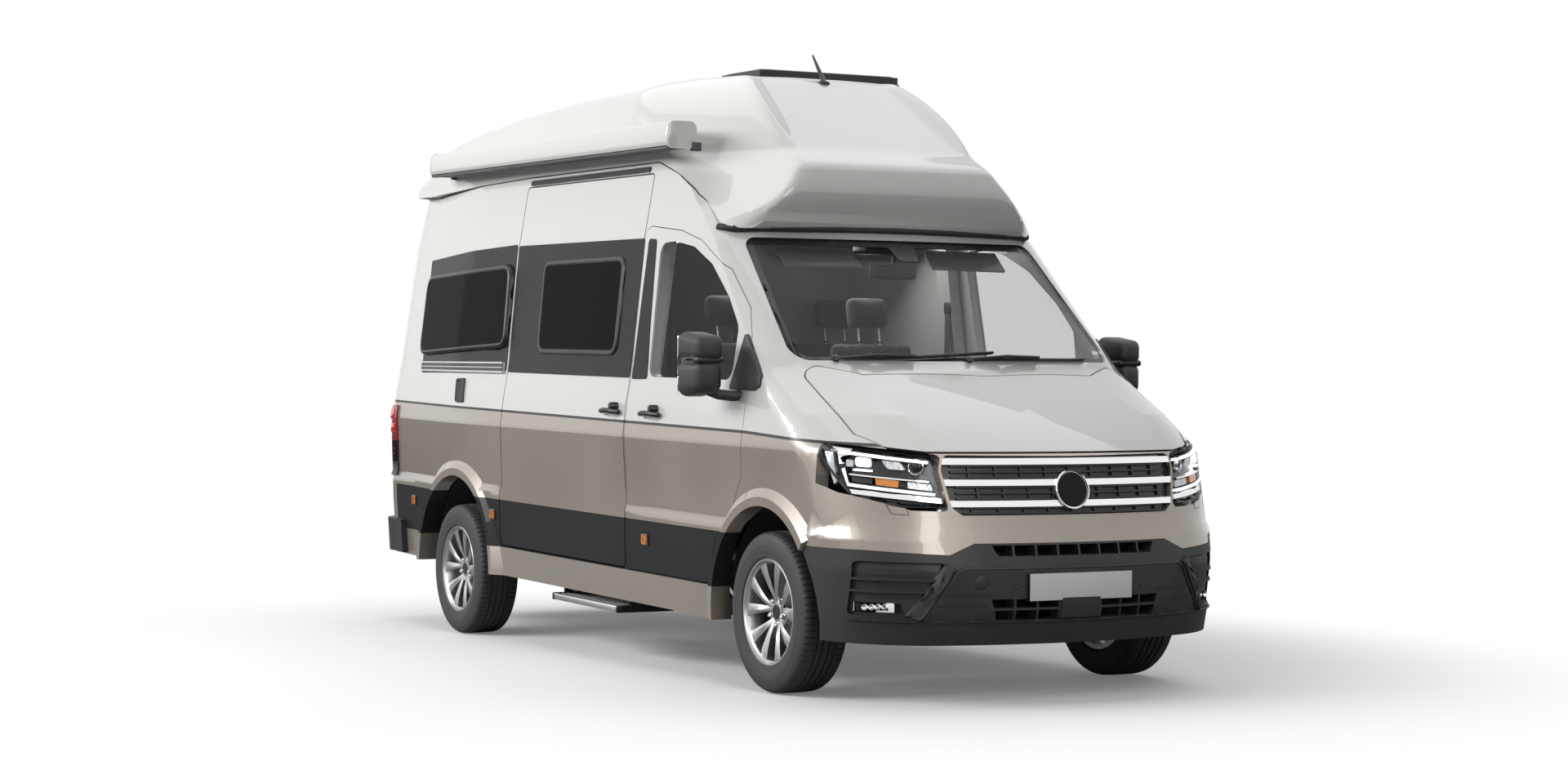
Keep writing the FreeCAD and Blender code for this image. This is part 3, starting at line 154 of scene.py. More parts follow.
def add_tube(bm, points, radius, sides=12, material=0):
    """A round bar along a few points, closed at both ends."""
    points = [Vector(p) for p in points]
    rings = []
    for i, point in enumerate(points):
        ahead = points[min(i + 1, len(points) - 1)] - points[max(i - 1, 0)]
        turn = ahead.to_track_quat("Z", "Y").to_matrix().to_4x4()
        made = bmesh.ops.create_circle(bm, cap_ends=i in (0, len(points) - 1), segments=sides, radius=radius,
                                       matrix=Matrix.Translation(point) @ turn)
        rings.append([e for e in bm.edges if e.verts[0] in made["verts"] and e.verts[1] in made["verts"]])
    for a, b in zip(rings, rings[1:]):
        loft = bmesh.ops.bridge_loops(bm, edges=a + b)
        for face in loft["faces"]:
            face.material_index = material


def tree_of(*names):
    """A search tree over panels of the frame, in the level frame of the body."""
    bm = bmesh.new()
    for name in names:
        bm.from_mesh(frame["nodes"][name].data)
    bmesh.ops.transform(bm, matrix=UNRAKE, verts=bm.verts)
    tree = BVHTree.FromBMesh(bm)
    bm.free()
    return tree


def seat(tree, start, direction):
    """The place where a straight look from start meets the panels."""
    return tree.ray_cast(Vector(start), Vector(direction))[0]


def level_box(name):
    """Lowest and highest corner of a node in the level frame."""
    bm = merged_copy(name)
    low, high = (Vector([pick(v.co[i] for v in bm.verts) for i in range(3)]) for pick in (min, max))
    bm.free()
    return low, high


def merged_copy(*names):
    """Panels of the frame as one bmesh in the level body frame, with shared corners."""
    bm = bmesh.new()
    for name in names:
        bm.from_mesh(frame["nodes"][name].data)
    bmesh.ops.remove_doubles(bm, verts=bm.verts, dist=0.00005)
    bmesh.ops.transform(bm, matrix=UNRAKE, verts=bm.verts)
    return bm


# %% [markdown]
# The camera stands low in front of the right headlamp, some thirteen metres away, with a long lens. Its
# place was worked out from the wheels and the overall length, so the panels fall on the same pixels as in
# the photograph.

# %% Camera
LENS_MM, SENSOR_MM, FAR_CLIP = 64.817, 36.0, 200.0
CAMERA_PLACE, CAMERA_TILT, CAMERA_TURN = (12.9322, -6.7561, 1.2851), 90.165, 61.796
camera_data = bpy.data.cameras.new("camera")
camera_data.lens, camera_data.sensor_width, camera_data.clip_end = LENS_MM, SENSOR_MM, FAR_CLIP
camera = bpy.data.objects.new("camera", camera_data)
bpy.context.scene.collection.objects.link(camera)
camera.location = CAMERA_PLACE
camera.rotation_euler = (math.radians(CAMERA_TILT), 0.0, math.radians(CAMERA_TURN))
bpy.context.scene.camera = camera
print("camera height:", round(camera.location.z, 3))

# %% [markdown]
# A studio for a car is a pale floor that runs into a pale wall. Near the van the floor is real and takes its
# shadow. Further out it fades into plain white, so that no edge of the floor is seen.

# %% Floor
bpy.context.scene.view_settings.view_transform = "Standard"


def tune(material, values):
    """Constants set on the sockets of the shader."""
    for socket, value in values.items():
        material.node_tree.nodes["Principled BSDF"].inputs[socket].default_value = value


def plain_material(name, colour, rough):
    """A material with a colour and a roughness."""
    material = bpy.data.materials.new(name)
    material.use_nodes = True
    tune(material, {"Base Color": (*colour, 1), "Roughness": rough})
    return material


def wire(tree, *links):
    """Links of a node tree, each as source node, its output, target node, its input."""
    for source, output, target, socket in links:
        tree.links.new(source.outputs[output], target.inputs[socket])


FADE_START, FADE_END, FADE_SQUASH = 1.9, 3.9, 0.78
FLOOR_GLOW, FLOOR_BOUNCE = 0.14, 0.42
floor_bm = bmesh.new()
bmesh.ops.create_grid(floor_bm, x_segments=2, y_segments=2, size=60)
floor_mesh = bpy.data.meshes.new("studio_floor")
floor_bm.to_mesh(floor_mesh)
floor_bm.free()
floor = bpy.data.objects.new("studio_floor", floor_mesh)
floor.location.z = -0.001
bpy.context.scene.collection.objects.link(floor)
floor_white = plain_material("pale_floor", (0.93, 0.93, 0.93), 0.7)
floor_mesh.materials.append(floor_white)
tree = floor_white.node_tree
tune(floor_white, {"Emission Color": (1, 1, 1, 1), "Emission Strength": FLOOR_GLOW})
shader = tree.nodes["Principled BSDF"]
place = tree.nodes.new("ShaderNodeTexCoord")
squash = tree.nodes.new("ShaderNodeMapping")
squash.inputs["Scale"].default_value = (FADE_SQUASH, 1, 1)
reach = tree.nodes.new("ShaderNodeVectorMath")
reach.operation = "LENGTH"
fade = tree.nodes.new("ShaderNodeMapRange")
fade.interpolation_type = "SMOOTHSTEP"
fade.inputs["From Min"].default_value, fade.inputs["From Max"].default_value = FADE_START, FADE_END
path = tree.nodes.new("ShaderNodeLightPath")
seen = tree.nodes.new("ShaderNodeMath")
seen.operation = "MULTIPLY"
glow = tree.nodes.new("ShaderNodeEmission")
mix = tree.nodes.new("ShaderNodeMixShader")
bounce = tree.nodes.new("ShaderNodeBsdfDiffuse")
bounce.inputs["Color"].default_value = (FLOOR_BOUNCE, FLOOR_BOUNCE, FLOOR_BOUNCE, 1)
near = tree.nodes.new("ShaderNodeMixShader")
wire(tree, (place, "Object", squash, "Vector"), (squash, "Vector", reach, 0),
     (reach, "Value", fade, "Value"), (fade, "Result", seen, 0), (path, "Is Camera Ray", seen, 1),
     (path, "Is Camera Ray", near, "Fac"), (bounce, "BSDF", near, 1), (shader, "BSDF", near, 2),
     (seen, "Value", mix, "Fac"), (near, "Shader", mix, 1), (glow, "Emission", mix, 2),
     (mix, "Shader", tree.nodes["Material Output"], "Surface"))
print("floor is down")

# %% [markdown]
# The world lights the van with a grey dome that is a little brighter overhead. The camera, mirrors and glass
# see plain white instead, which Light Path makes possible without any more light on the van.

# %% World
DOME_LOW, DOME_HIGH = 0.74, 0.86
world = bpy.data.worlds.new("studio")
bpy.context.scene.world = world
world.use_nodes = True
sky = world.node_tree
dome = sky.nodes["Background"]
white = sky.nodes.new("ShaderNodeBackground")
white.inputs["Color"].default_value = (1, 1, 1, 1)
white.inputs["Strength"].default_value = 1.0
sky_path = sky.nodes.new("ShaderNodeLightPath")
sky_mix = sky.nodes.new("ShaderNodeMixShader")
sky_place = sky.nodes.new("ShaderNodeTexCoord")
sky_axes = sky.nodes.new("ShaderNodeSeparateXYZ")
sky_rise = sky.nodes.new("ShaderNodeMapRange")
sky_rise.inputs["From Min"].default_value, sky_rise.inputs["From Max"].default_value = -0.2, 0.9
sky_rise.inputs["To Min"].default_value, sky_rise.inputs["To Max"].default_value = DOME_LOW, DOME_HIGH
sky_seen = sky.nodes.new("ShaderNodeMath")
sky_seen.operation = "MAXIMUM"
sky_clear = sky.nodes.new("ShaderNodeMath")
sky_clear.operation = "MAXIMUM"
wire(sky, (sky_place, "Generated", sky_axes, "Vector"), (sky_axes, "Z", sky_rise, "Value"),
     (sky_rise, "Result", dome, "Strength"), (sky_path, "Is Camera Ray", sky_seen, 0),
     (sky_path, "Is Transmission Ray", sky_seen, 1), (sky_seen, "Value", sky_clear, 0),
     (sky_path, "Is Glossy Ray", sky_clear, 1), (sky_clear, "Value", sky_mix, "Fac"),
     (dome, "Background", sky_mix, 1), (white, "Background", sky_mix, 2),
     (sky_mix, "Shader", sky.nodes["World Output"], "Surface"))

# %% [markdown]
# Four area lamps do the rest. The long strip on the right draws the bright line along the shoulder, the one
# in front lifts the bonnet, and a weak ceiling lamp shows the seats through the glass.


# %% Lamps
def area_lamp(name, place, aim, width, height, watts):
    """A rectangular lamp that looks at a point."""
    lamp = bpy.data.lights.new(name, "AREA")
    lamp.shape = "RECTANGLE"
    lamp.size, lamp.size_y = width, height
    lamp.energy = watts
    item = bpy.data.objects.new(name, lamp)
    item.location = place
    item.rotation_euler = (Vector(aim) - Vector(place)).to_track_quat("-Z", "Y").to_euler()
    bpy.context.scene.collection.objects.link(item)


area_lamp("overhead_softbox", (-1.0, 1.0, 9.0), (0, 0, 0), 12.0, 8.0, 300)
area_lamp("right_side_strip", (-2.0, -9.0, 5.0), (-0.5, 0, 1.6), 9.0, 2.5, 780)
area_lamp("front_strip", (10.0, -2.0, 5.0), (1.5, 0, 1.5), 2.5, 6.0, 210)
area_lamp("cab_ceiling_light", (0.35, 0.0, 2.05), (0.9, 0, 1.2), 1.2, 0.5, 8)
print("lamps:", len(bpy.data.lights))

# %% [markdown]
# ## Finishes
# Body paint has three layers: colour, a clear coat that mirrors the studio, and a very faint waviness called
# orange peel. The taupe is a metallic paint, so tiny flakes in it turn the light. Noise in Object
# coordinates gives both, at a scale of millimetres, and the values that are the same everywhere sit on the
# shader's own sockets.


# %% Helpers for materials
def new_material(name, colour, rough, metallic=0.0, coat=0.0, coat_rough=0.05, specular=0.5):
    """A material with its constants. The patterns come on top of them."""
    material = plain_material(name, colour, rough)
    tune(material, {"Metallic": metallic, "Coat Weight": coat, "Coat Roughness": coat_rough,
                    "Specular IOR Level": specular})
    material.diffuse_color = (*colour, 1)
    return material


def add_noise(material, scale, detail=2.0, stretch=(1, 1, 1)):
    """A noise pattern fixed to the object, with an optional stretch."""
    tree = material.node_tree
    place = tree.nodes.new("ShaderNodeTexCoord")
    mapping = tree.nodes.new("ShaderNodeMapping")
    mapping.inputs["Scale"].default_value = stretch
    noise = tree.nodes.new("ShaderNodeTexNoise")
    noise.inputs["Scale"].default_value = scale
    noise.inputs["Detail"].default_value = detail
    wire(tree, (place, "Object", mapping, "Vector"), (mapping, "Vector", noise, "Vector"))
    return noise


def bump_with(material, socket, strength, distance):
    """A pattern becomes a bump, added to one that is already there."""
    tree = material.node_tree
    shader = tree.nodes["Principled BSDF"]
    bump = tree.nodes.new("ShaderNodeBump")
    bump.inputs["Strength"].default_value = strength
    bump.inputs["Distance"].default_value = distance
    tree.links.new(socket, bump.inputs["Height"])
    links = shader.inputs["Normal"].links
    if links:
        tree.links.new(links[0].from_socket, bump.inputs["Normal"])
    tree.links.new(bump.outputs["Normal"], shader.inputs["Normal"])


NOISE_REACH = (0.35, 0.65)


def vary(material, socket, target, low, high):
    """A pattern moves a colour or a roughness between two values."""
    tree = material.node_tree
    shader = tree.nodes["Principled BSDF"]
    if target == "Base Color":
        ramp = tree.nodes.new("ShaderNodeValToRGB")
        ramp.color_ramp.elements[0].position, ramp.color_ramp.elements[1].position = NOISE_REACH
        ramp.color_ramp.elements[0].color = (*low, 1)
        ramp.color_ramp.elements[1].color = (*high, 1)
        tree.links.new(socket, ramp.inputs["Fac"])
        tree.links.new(ramp.outputs["Color"], shader.inputs[target])
    else:
        spread = tree.nodes.new("ShaderNodeMapRange")
        spread.inputs["From Min"].default_value, spread.inputs["From Max"].default_value = NOISE_REACH
        spread.inputs["To Min"].default_value, spread.inputs["To Max"].default_value = low, high
        tree.links.new(socket, spread.inputs["Value"])
        tree.links.new(spread.outputs["Result"], shader.inputs[target])


def paint(name, colour, metallic=0.0, rough=0.4, flake=0.0, peel=0.035):
    """Vehicle paint: colour, clear coat, faint orange peel and, in a metallic, flakes."""
    material = new_material(name, colour, rough, metallic, coat=1.0, coat_rough=0.03)
    soft = add_noise(material, 260.0, 1.0)
    bump_with(material, soft.outputs["Fac"], peel, 0.0006)
    drift = add_noise(material, 1.6, 3.0)
    vary(material, drift.outputs["Fac"], "Roughness", rough - 0.03, rough + 0.04)
    if flake:
        grains = add_noise(material, 2600.0, 1.0)
        low = tuple(c * (1 - flake) for c in colour)
        high = tuple(min(1.0, c * (1 + flake)) for c in colour)
        vary(material, grains.outputs["Fac"], "Base Color", low, high)
    return material


def moulded(name, colour, rough, grain=900.0, depth=0.25):
    """Moulded plastic or rubber with a fine grain."""
    material = new_material(name, colour, rough)
    fine = add_noise(material, grain, 2.0)
    bump_with(material, fine.outputs["Fac"], depth, 0.0004)
    cloud = add_noise(material, 3.0, 3.0)
    vary(material, cloud.outputs["Fac"], "Roughness", rough - 0.05, rough + 0.07)
    return material


def metal(name, colour, rough, depth=0.05):
    """Bare metal with a fine brushed noise in its gloss and surface."""
    material = new_material(name, colour, rough, metallic=1.0)
    fine = add_noise(material, 400.0, 2.0)
    bump_with(material, fine.outputs["Fac"], depth, 0.0003)
    vary(material, fine.outputs["Fac"], "Roughness", rough - 0.04, rough + 0.05)
    return material


def tinted_glass(name, colour, see_through, rough=0.015):
    """Window glass as a thin sheet: part dark coat, part clear, with faint streaks in its polish."""
    material = new_material(name, colour, rough, specular=0.6)
    tune(material, {"Transmission Weight": see_through, "IOR": 1.05})
    streaks = add_noise(material, 2.2, 3.0, (1, 1, 4))
    vary(material, streaks.outputs["Fac"], "Roughness", rough, rough + 0.012)
    return material


# %% Finishes of the van
white_paint = paint("upper_white_paint", (0.69, 0.69, 0.665))
roof_white = paint("roof_gelcoat_white", (0.71, 0.71, 0.685), rough=0.34, peel=0.05)
taupe_paint = paint("taupe_metallic_paint", (0.385, 0.335, 0.290), metallic=0.45, rough=0.34, flake=0.22)
band_paint = paint("anthracite_band", (0.016, 0.016, 0.017), rough=0.62, peel=0.06)
tune(band_paint, {"Specular IOR Level": 0.15, "Coat Weight": 0.15})
black_film = moulded("black_film", (0.012, 0.012, 0.012), 0.35, depth=0.08)
black_plastic = moulded("black_grained_plastic", (0.024, 0.024, 0.024), 0.52)
satin_black = moulded("satin_black_plastic", (0.012, 0.012, 0.012), 0.32, depth=0.06)
# Near-black painted shade for slots, shut lines and hollows, put where shade falls.
painted_recess_shade = moulded("painted_recess_shade", (0.004, 0.004, 0.004), 0.8)
chrome = metal("bright_chrome", (0.86, 0.86, 0.85), 0.07, depth=0.02)
alloy_silver = metal("wheel_silver", (0.58, 0.58, 0.59), 0.30, depth=0.08)
bare_steel = metal("bare_steel", (0.42, 0.41, 0.40), 0.38, depth=0.2)
chassis_black = moulded("underseal_black", (0.014, 0.014, 0.014), 0.7, grain=220.0, depth=0.5)
anodised = metal("anodised_aluminium", (0.63, 0.64, 0.65), 0.32, depth=0.06)
band_glass = tinted_glass("privacy_glass", (0.010, 0.010, 0.011), 0.0, 0.02)
clear_glass = tinted_glass("clear_glass", (0.012, 0.018, 0.018), 0.0, 0.0)
tune(clear_glass, {"Alpha": 0.15, "Coat Weight": 1.0})
rubber = moulded("tyre_rubber", (0.050, 0.050, 0.051), 0.62, grain=500.0, depth=0.3)
# Black rubber for seals, the roof joint and the aerial foot. Under the front edge of the roof it is also
# painted shadow.
seal_rubber_and_shadow = moulded("seal_rubber_and_shadow", (0.010, 0.010, 0.010), 0.6)
print("finishes:", len(bpy.data.materials))

# %% [markdown]
# ## Panels
# The panels arrive as loose triangles. A merged copy can be shaded smooth, and where the real van changes
# colour the copy is first cut along the colour line, so the edge of each colour is crisp at any size of
# picture. The belt line falls gently towards the front; the dark band and the sill run level with the body.

# %% Colour lines of the side
BELT_REAR, BELT_FRONT = Vector((-2.433, 0, 1.219)), Vector((1.796, 0, 1.195))
BELT_NOSE = Vector((2.494, 0, 1.171))
BELT_LINE, BAND_TOP, SILL_TOP, ARCH_REACH = 0.013, 0.733, 0.481, 0.478
FRONT_ARCH, REAR_ARCH = Vector((2.030, 0, 0.395)), Vector((-1.600, 0, 0.345))


def belt_height(x):
    """Height of the lower edge of the upper colour above the floor of the level body frame."""
    a, b = (BELT_REAR, BELT_FRONT) if x < BELT_FRONT.x else (BELT_FRONT, BELT_NOSE)
    return a.z + (b.z - a.z) * (x - a.x) / (b.x - a.x)


def split(bm, place, normal):
    """A cut through all faces along a plane."""
    geom = bm.verts[:] + bm.edges[:] + bm.faces[:]
    bmesh.ops.bisect_plane(bm, geom=geom, plane_co=place, plane_no=normal, dist=0.00002)


DRESS_SMOOTH = 28


def dress(node, materials, body, choose=None, cuts=(), raked=True):
    """A merged, smooth copy of a node stands for it, cut along colour lines where it has any."""
    bm = merged_copy(node)
    if not raked:
        bmesh.ops.transform(bm, matrix=RAKE, verts=bm.verts)
    for place, normal in cuts:
        split(bm, place, normal)
    if choose:
        for face in bm.faces:
            face.material_index = choose(face.calc_center_median())
    mesh = bpy.data.meshes.new(node + "_skin")
    if raked:
        bmesh.ops.transform(bm, matrix=RAKE, verts=bm.verts)
    bm.to_mesh(mesh)
    bm.free()
    piece = bpy.data.objects.new(node + "_skin", mesh)
    bpy.context.scene.collection.objects.link(piece)
    for material in materials:
        mesh.materials.append(material)
    fresh_shading(mesh, DRESS_SMOOTH)
    even = piece.modifiers.new("even_shading", "WEIGHTED_NORMAL")
    even.keep_sharp = True
    even.weight = 100
    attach(piece, body)
    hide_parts(node)
    return piece


BODY_OF = {}
for body_name, node_names in frame["record"]["behaviour"]["bodies"].items():
    for node_name in node_names:
        BODY_OF[node_name] = body_name
print("nodes by body:", len(BODY_OF))
SIDE_PAINTS = [white_paint, black_film, taupe_paint, band_paint]


def belt_cuts():
    """Planes along the upper and lower edge of the belt line."""
    cuts = []
    for a, b in ((BELT_REAR, BELT_FRONT), (BELT_FRONT, BELT_NOSE)):
        normal = Vector((-(b.z - a.z), 0, b.x - a.x)).normalized()
        cuts += [(a, normal), (a - normal * BELT_LINE, normal)]
    return cuts


def side_colour(place):
    """Which paint covers a point of the side: white, belt line, taupe or dark band."""
    belt = belt_height(place.x)
    if place.z > belt:
        return 0
    if place.z > belt - BELT_LINE:
        return 1 if abs(place.y) > 0.9 or place.x > 2.0 else 0
    in_arch = any(math.hypot(place.x - c.x, place.z - c.z) < ARCH_REACH for c in (FRONT_ARCH, REAR_ARCH))
    if SILL_TOP < place.z < BAND_TOP and not in_arch and abs(place.x) < 2.62 and abs(place.y) > 0.8:
        return 3
    return 2


SIDE_CUTS = belt_cuts() + [(Vector((0, 0, BAND_TOP)), (0, 0, 1)), (Vector((0, 0, SILL_TOP)), (0, 0, 1))]
for node in ("side_wall_right", "side_wall_left", "sliding_door", "front_body", "cab_door_right",
             "cab_door_left", "rear_door_right", "rear_door_left", "door_posts"):
    dress(node, SIDE_PAINTS, BODY_OF[node], side_colour, SIDE_CUTS)
dress("bonnet", [white_paint], BODY_OF["bonnet"])
PLAIN = {"windscreen": clear_glass, "cab_door_glass_right": clear_glass, "cab_door_glass_left": clear_glass,
         "side_windows": band_glass, "rear_door_glass_right": band_glass, "rear_door_glass_left": band_glass,
         "underbody": chassis_black, "roof_hatch_frame": satin_black, "roof_hatch_lid": satin_black,
         "roof_aerial": satin_black, "rear_bumper": black_plastic, "entry_step": anodised}
for node, material in PLAIN.items():
    dress(node, [material], BODY_OF[node])
for node in ("engine_block", "front_subframe", "front_struts", "knuckle_right", "knuckle_left", "rear_axle",
             "fuel_tank", "exhaust"):
    dress(node, [chassis_black], BODY_OF[node], raked=False)
print("panels dressed:", len(BODY_OF))

# %% [markdown]
# ## Pieces that lie on the body
# Windows, strips and lamps follow the curve of the panel they sit on. Each starts as a flat outline, seen
# from the side or the front, is cut into a grid and then laid onto the body, a set distance proud of it. The
# side of the van has the same slope at every place along it, apart from a slight taper at the rear, so a
# short table describes it.

# %% Helpers for pieces laid onto the body
SIDE_SLOPE = [(0.33, 0.975), (0.47, 0.985), (0.64, 0.998), (0.775, 1.003), (0.81, 0.990), (1.115, 1.003),
              (1.14, 1.002), (1.283, 0.985), (1.42, 0.962), (1.48, 0.953), (2.085, 0.877), (2.56, 0.780)]
TAPER_START, TAPER = -1.7, 0.0585


def side_half(x, z):
    """Half width of the body at a place seen from the side."""
    rows = SIDE_SLOPE
    a, b = next(((p, q) for p, q in zip(rows, rows[1:]) if z <= q[0]), rows[-2:])
    half = a[1] + (b[1] - a[1]) * (z - a[0]) / (b[0] - a[0])
    return half - max(0.0, TAPER_START - x) * TAPER


def right_side(x, z, lift):
    """The body seen from its right side."""
    return Vector((x, -side_half(x, z) - lift, z))


def left_side(x, z, lift):
    """The body seen from its left side."""
    return Vector((x, side_half(x, z) + lift, z))


front_tree = tree_of("front_bumper", "front_body", "grille", "headlamps", "bonnet", "windscreen", "high_roof")


def front_face(y, z, lift):
    """The body seen from the front."""
    found = seat(front_tree, (3.4, y, z), (-1, 0, 0))
    if found is None:
        found = front_tree.find_nearest(Vector((2.7, y, z)))[0]
    return Vector((found.x + lift, y, z))


def rounded(outline, radius=0.0, pitch=0.06, steps=5):
    """An outline with short arcs at its corners and extra points along its long sides."""
    points = []
    count = len(outline)
    for i, corner in enumerate(outline):
        here = Vector(corner)
        back, ahead = Vector(outline[i - 1]) - here, Vector(outline[(i + 1) % count]) - here
        reach = min(radius, back.length * 0.48, ahead.length * 0.48)
        if reach <= 0:
            points.append(here)
            continue
        a, b = here + back.normalized() * reach, here + ahead.normalized() * reach
        for k in range(steps + 1):
            t = k / steps
            points.append(a.lerp(here, t).lerp(here.lerp(b, t), t))
    full = []
    for a, b in zip(points, points[1:] + points[:1]):
        parts = max(1, math.ceil((b - a).length / pitch))
        full += [tuple(a.lerp(b, k / parts)) for k in range(parts)]
    return full


def rectangle(u0, v0, u1, v1):
    """Four corners of an upright outline."""
    return [(u0, v0), (u0, v1), (u1, v1), (u1, v0)]


def circle(u, v, radius, count):
    """A round outline."""
    return [(u + radius * math.cos(math.tau * k / count), v + radius * math.sin(math.tau * k / count))
            for k in range(count)]


def inset(outline, distance):
    """The outline moved inwards by a distance."""
    area = sum(a[0] * b[1] - b[0] * a[1] for a, b in zip(outline, outline[1:] + outline[:1]))
    turn = 1 if area > 0 else -1
    moved = []
    for i, (u, v) in enumerate(outline):
        a, b = outline[i - 1], outline[(i + 1) % len(outline)]
        along = Vector((b[0] - a[0], b[1] - a[1])).normalized()
        moved.append((u - along.y * turn * distance, v + along.x * turn * distance))
    return moved


def add_cap(bm, outline, place, lift, pitch=0.07, material=0):
    """A face inside an outline, cut into a grid so that it follows the body."""
    flat = bmesh.new()
    face = flat.faces.new([flat.verts.new((u, v, 0)) for u, v in outline])
    bmesh.ops.triangulate(flat, faces=[face])
    for axis, values in enumerate(zip(*outline)):
        low, high = min(values), max(values)
        steps = int((high - low) / pitch)
        normal = (1, 0, 0) if axis == 0 else (0, 1, 0)
        for i in range(1, steps + 1):
            at = low + (high - low) * i / (steps + 1)
            bmesh.ops.bisect_plane(flat, geom=flat.verts[:] + flat.edges[:] + flat.faces[:],
                                   plane_co=(at, at, 0), plane_no=normal, dist=0.00001)
    slanted = [e for e in flat.edges if len(e.link_faces) == 2
               and min(abs(e.verts[0].co[k] - e.verts[1].co[k]) for k in (0, 1)) > 0.00005]
    bmesh.ops.dissolve_edges(flat, edges=slanted, use_verts=False)
    laid = {v: bm.verts.new(place(v.co.x, v.co.y, lift)) for v in flat.verts}
    for face in flat.faces:
        bm.faces.new([laid[v] for v in face.verts]).material_index = material
    flat.free()


def add_stepped(bm, outline, place, profile, base=0.0, pitch=0.07, cap_material=None, floor=True):
    """Rings that step in and out of the body. A row holds inset, lift and material. A cap closes the last."""
    rows = [(0.0, base, profile[0][2])] + list(profile)
    rings = [[bm.verts.new(place(u, v, lift)) for u, v in inset(outline, into)]
             for into, lift, material in rows]
    for (lower, upper), row in zip(zip(rings, rings[1:]), rows[1:]):
        for i in range(len(lower)):
            k = (i + 1) % len(lower)
            bm.faces.new((lower[i], lower[k], upper[k], upper[i])).material_index = row[2]
    into, lift, material = rows[-1]
    add_cap(bm, inset(outline, into), place, lift, pitch, material if cap_material is None else cap_material)
    if floor:
        add_cap(bm, outline, place, base, pitch, profile[0][2])


def add_sheet(bm, outline, place, lift, depth, material=0):
    """A thin sheet on the body: its face is lift proud, and it is depth thick."""
    add_stepped(bm, outline, place, [(0.0, lift, material)], base=lift - depth)


def ribbon(path, width):
    """The outline of a strip along a path of points."""
    points = [Vector(p) for p in path]
    left, right = [], []
    for i, point in enumerate(points):
        along = (points[min(i + 1, len(points) - 1)] - points[max(i - 1, 0)]).normalized()
        across = Vector((-along.y, along.x)) * width / 2
        left.append(tuple(point + across))
        right.append(tuple(point - across))
    return left + right[::-1]


print("front tree is ready")

# %% [markdown]
# The dark band of glass runs from the rear corner to the cab door. It is three sheets, one on each panel, so
# it opens where the panels open. The window in the quarter panel is a separate hinged pane with a thick
# frame, and the one in the sliding door is set flush in its own frame. A dark seal lies inside each frame.

# %% Glass band and side windows
QUARTER_BAND = [(-2.430, 2.030), (-1.724, 2.070), (-1.078, 2.090), (-1.022, 1.409), (-2.356, 1.388)]
SLIDER_BAND = [(-1.052, 2.082), (0.506, 2.083), (0.530, 1.407), (-0.992, 1.410)]
PILLAR_BAND = [(0.556, 2.080), (0.640, 2.076), (0.684, 1.669), (0.724, 1.404), (0.556, 1.401)]
REAR_FRAME = [(-2.388, 1.482), (-2.400, 1.945), (-1.085, 1.994), (-1.032, 1.538)]
SLIDE_FRAME = [(-0.628, 1.508), (-0.676, 2.000), (0.326, 2.008), (0.352, 1.508)]


def glass_band(name, outline, place, body):
    """One sheet of the dark glass band."""
    bm = bmesh.new()
    add_sheet(bm, rounded(outline, 0.02), place, 0.0035, 0.0030)
    return finish_mesh(name, bm, band_film, body, smooth=25)


def framed_window(name, outline, place, body, proud, radius):
    """A pane in a frame: the frame climbs from the band, has a rounded shoulder and a dark seal inside."""
    bm = bmesh.new()
    edge = rounded(outline, radius, steps=7)
    add_stepped(bm, edge, place, [(0.003, proud * 0.55, 0), (0.009, proud * 0.9, 0), (0.018, proud, 0),
                                  (0.026, proud - 0.001, 0), (0.028, proud - 0.004, 1),
                                  (0.031, proud - 0.004, 1), (0.033, proud - 0.002, 2)], cap_material=2)
    return finish_mesh(name, bm, [satin_black, seal_rubber_and_shadow, band_glass], body, smooth=25)


band_film = moulded("band_film", (0.014, 0.015, 0.016), 0.24, depth=0.02)
tune(band_film, {"Specular IOR Level": 0.12})
glass_band("band_quarter_right", QUARTER_BAND, right_side, "van_body")
glass_band("band_slider", SLIDER_BAND, right_side, "van_body")
glass_band("band_pillar_right", PILLAR_BAND, right_side, BODY_OF["cab_door_right"])
framed_window("window_quarter_right", REAR_FRAME, right_side, "van_body", 0.030, 0.095)
framed_window("window_slider", SLIDE_FRAME, right_side, "van_body", 0.0150, 0.085)
framed_window("window_quarter_left", REAR_FRAME, left_side, "van_body", 0.030, 0.095)
glass_band("band_pillar_left", PILLAR_BAND, left_side, BODY_OF["cab_door_left"])
print("side windows: 3")

# %% [markdown]
# The sliding door hangs on a rail below the band: a black channel with a bright lip above and below. A
# second rail hides under the gutter. Between them sits a small black flap. Three amber markers stand in the
# dark band below, and each pull handle lies over a shallow cup.

# %% Rails, flap, markers and handles
amber = new_material("amber_lens", (0.62, 0.20, 0.02), 0.22, coat=1.0)
bump_with(amber, add_noise(amber, 380.0, 1.0, (1, 1, 0.1)).outputs["Fac"], 0.5, 0.0008)
bm = bmesh.new()
add_sheet(bm, rounded([(-2.338, 1.398), (-2.348, 1.449), (-1.047, 1.461), (-1.032, 1.406)], 0.006),
          right_side, 0.0135, 0.003)
for path in ([(-2.342, 1.447), (-1.048, 1.459)], [(-2.334, 1.402), (-1.034, 1.410)]):
    add_sheet(bm, rounded(ribbon(path, 0.009)), right_side, 0.020, 0.012, material=1)
add_sheet(bm, rounded(ribbon([(-2.33, 1.424), (-1.05, 1.434)], 0.005)), right_side, 0.016, 0.006, material=1)
finish_mesh("slide_rail_trim", bm, [satin_black, anodised], "van_body", smooth=30)
bm = bmesh.new()
add_sheet(bm, rounded(ribbon([(-1.05, 2.418), (0.42, 2.424)], 0.026), 0.01), right_side, 0.008, 0.012)
finish_mesh("upper_slide_rail", bm, satin_black, "van_body", smooth=30)
bm = bmesh.new()
add_stepped(bm, rounded([(-1.690, 1.366), (-1.576, 1.368), (-1.552, 1.235), (-1.662, 1.233)], 0.014),
            right_side,
            [(0.002, 0.010, 0), (0.006, 0.014, 0), (0.012, 0.014, 0), (0.014, 0.011, 0), (0.018, 0.011, 0)])
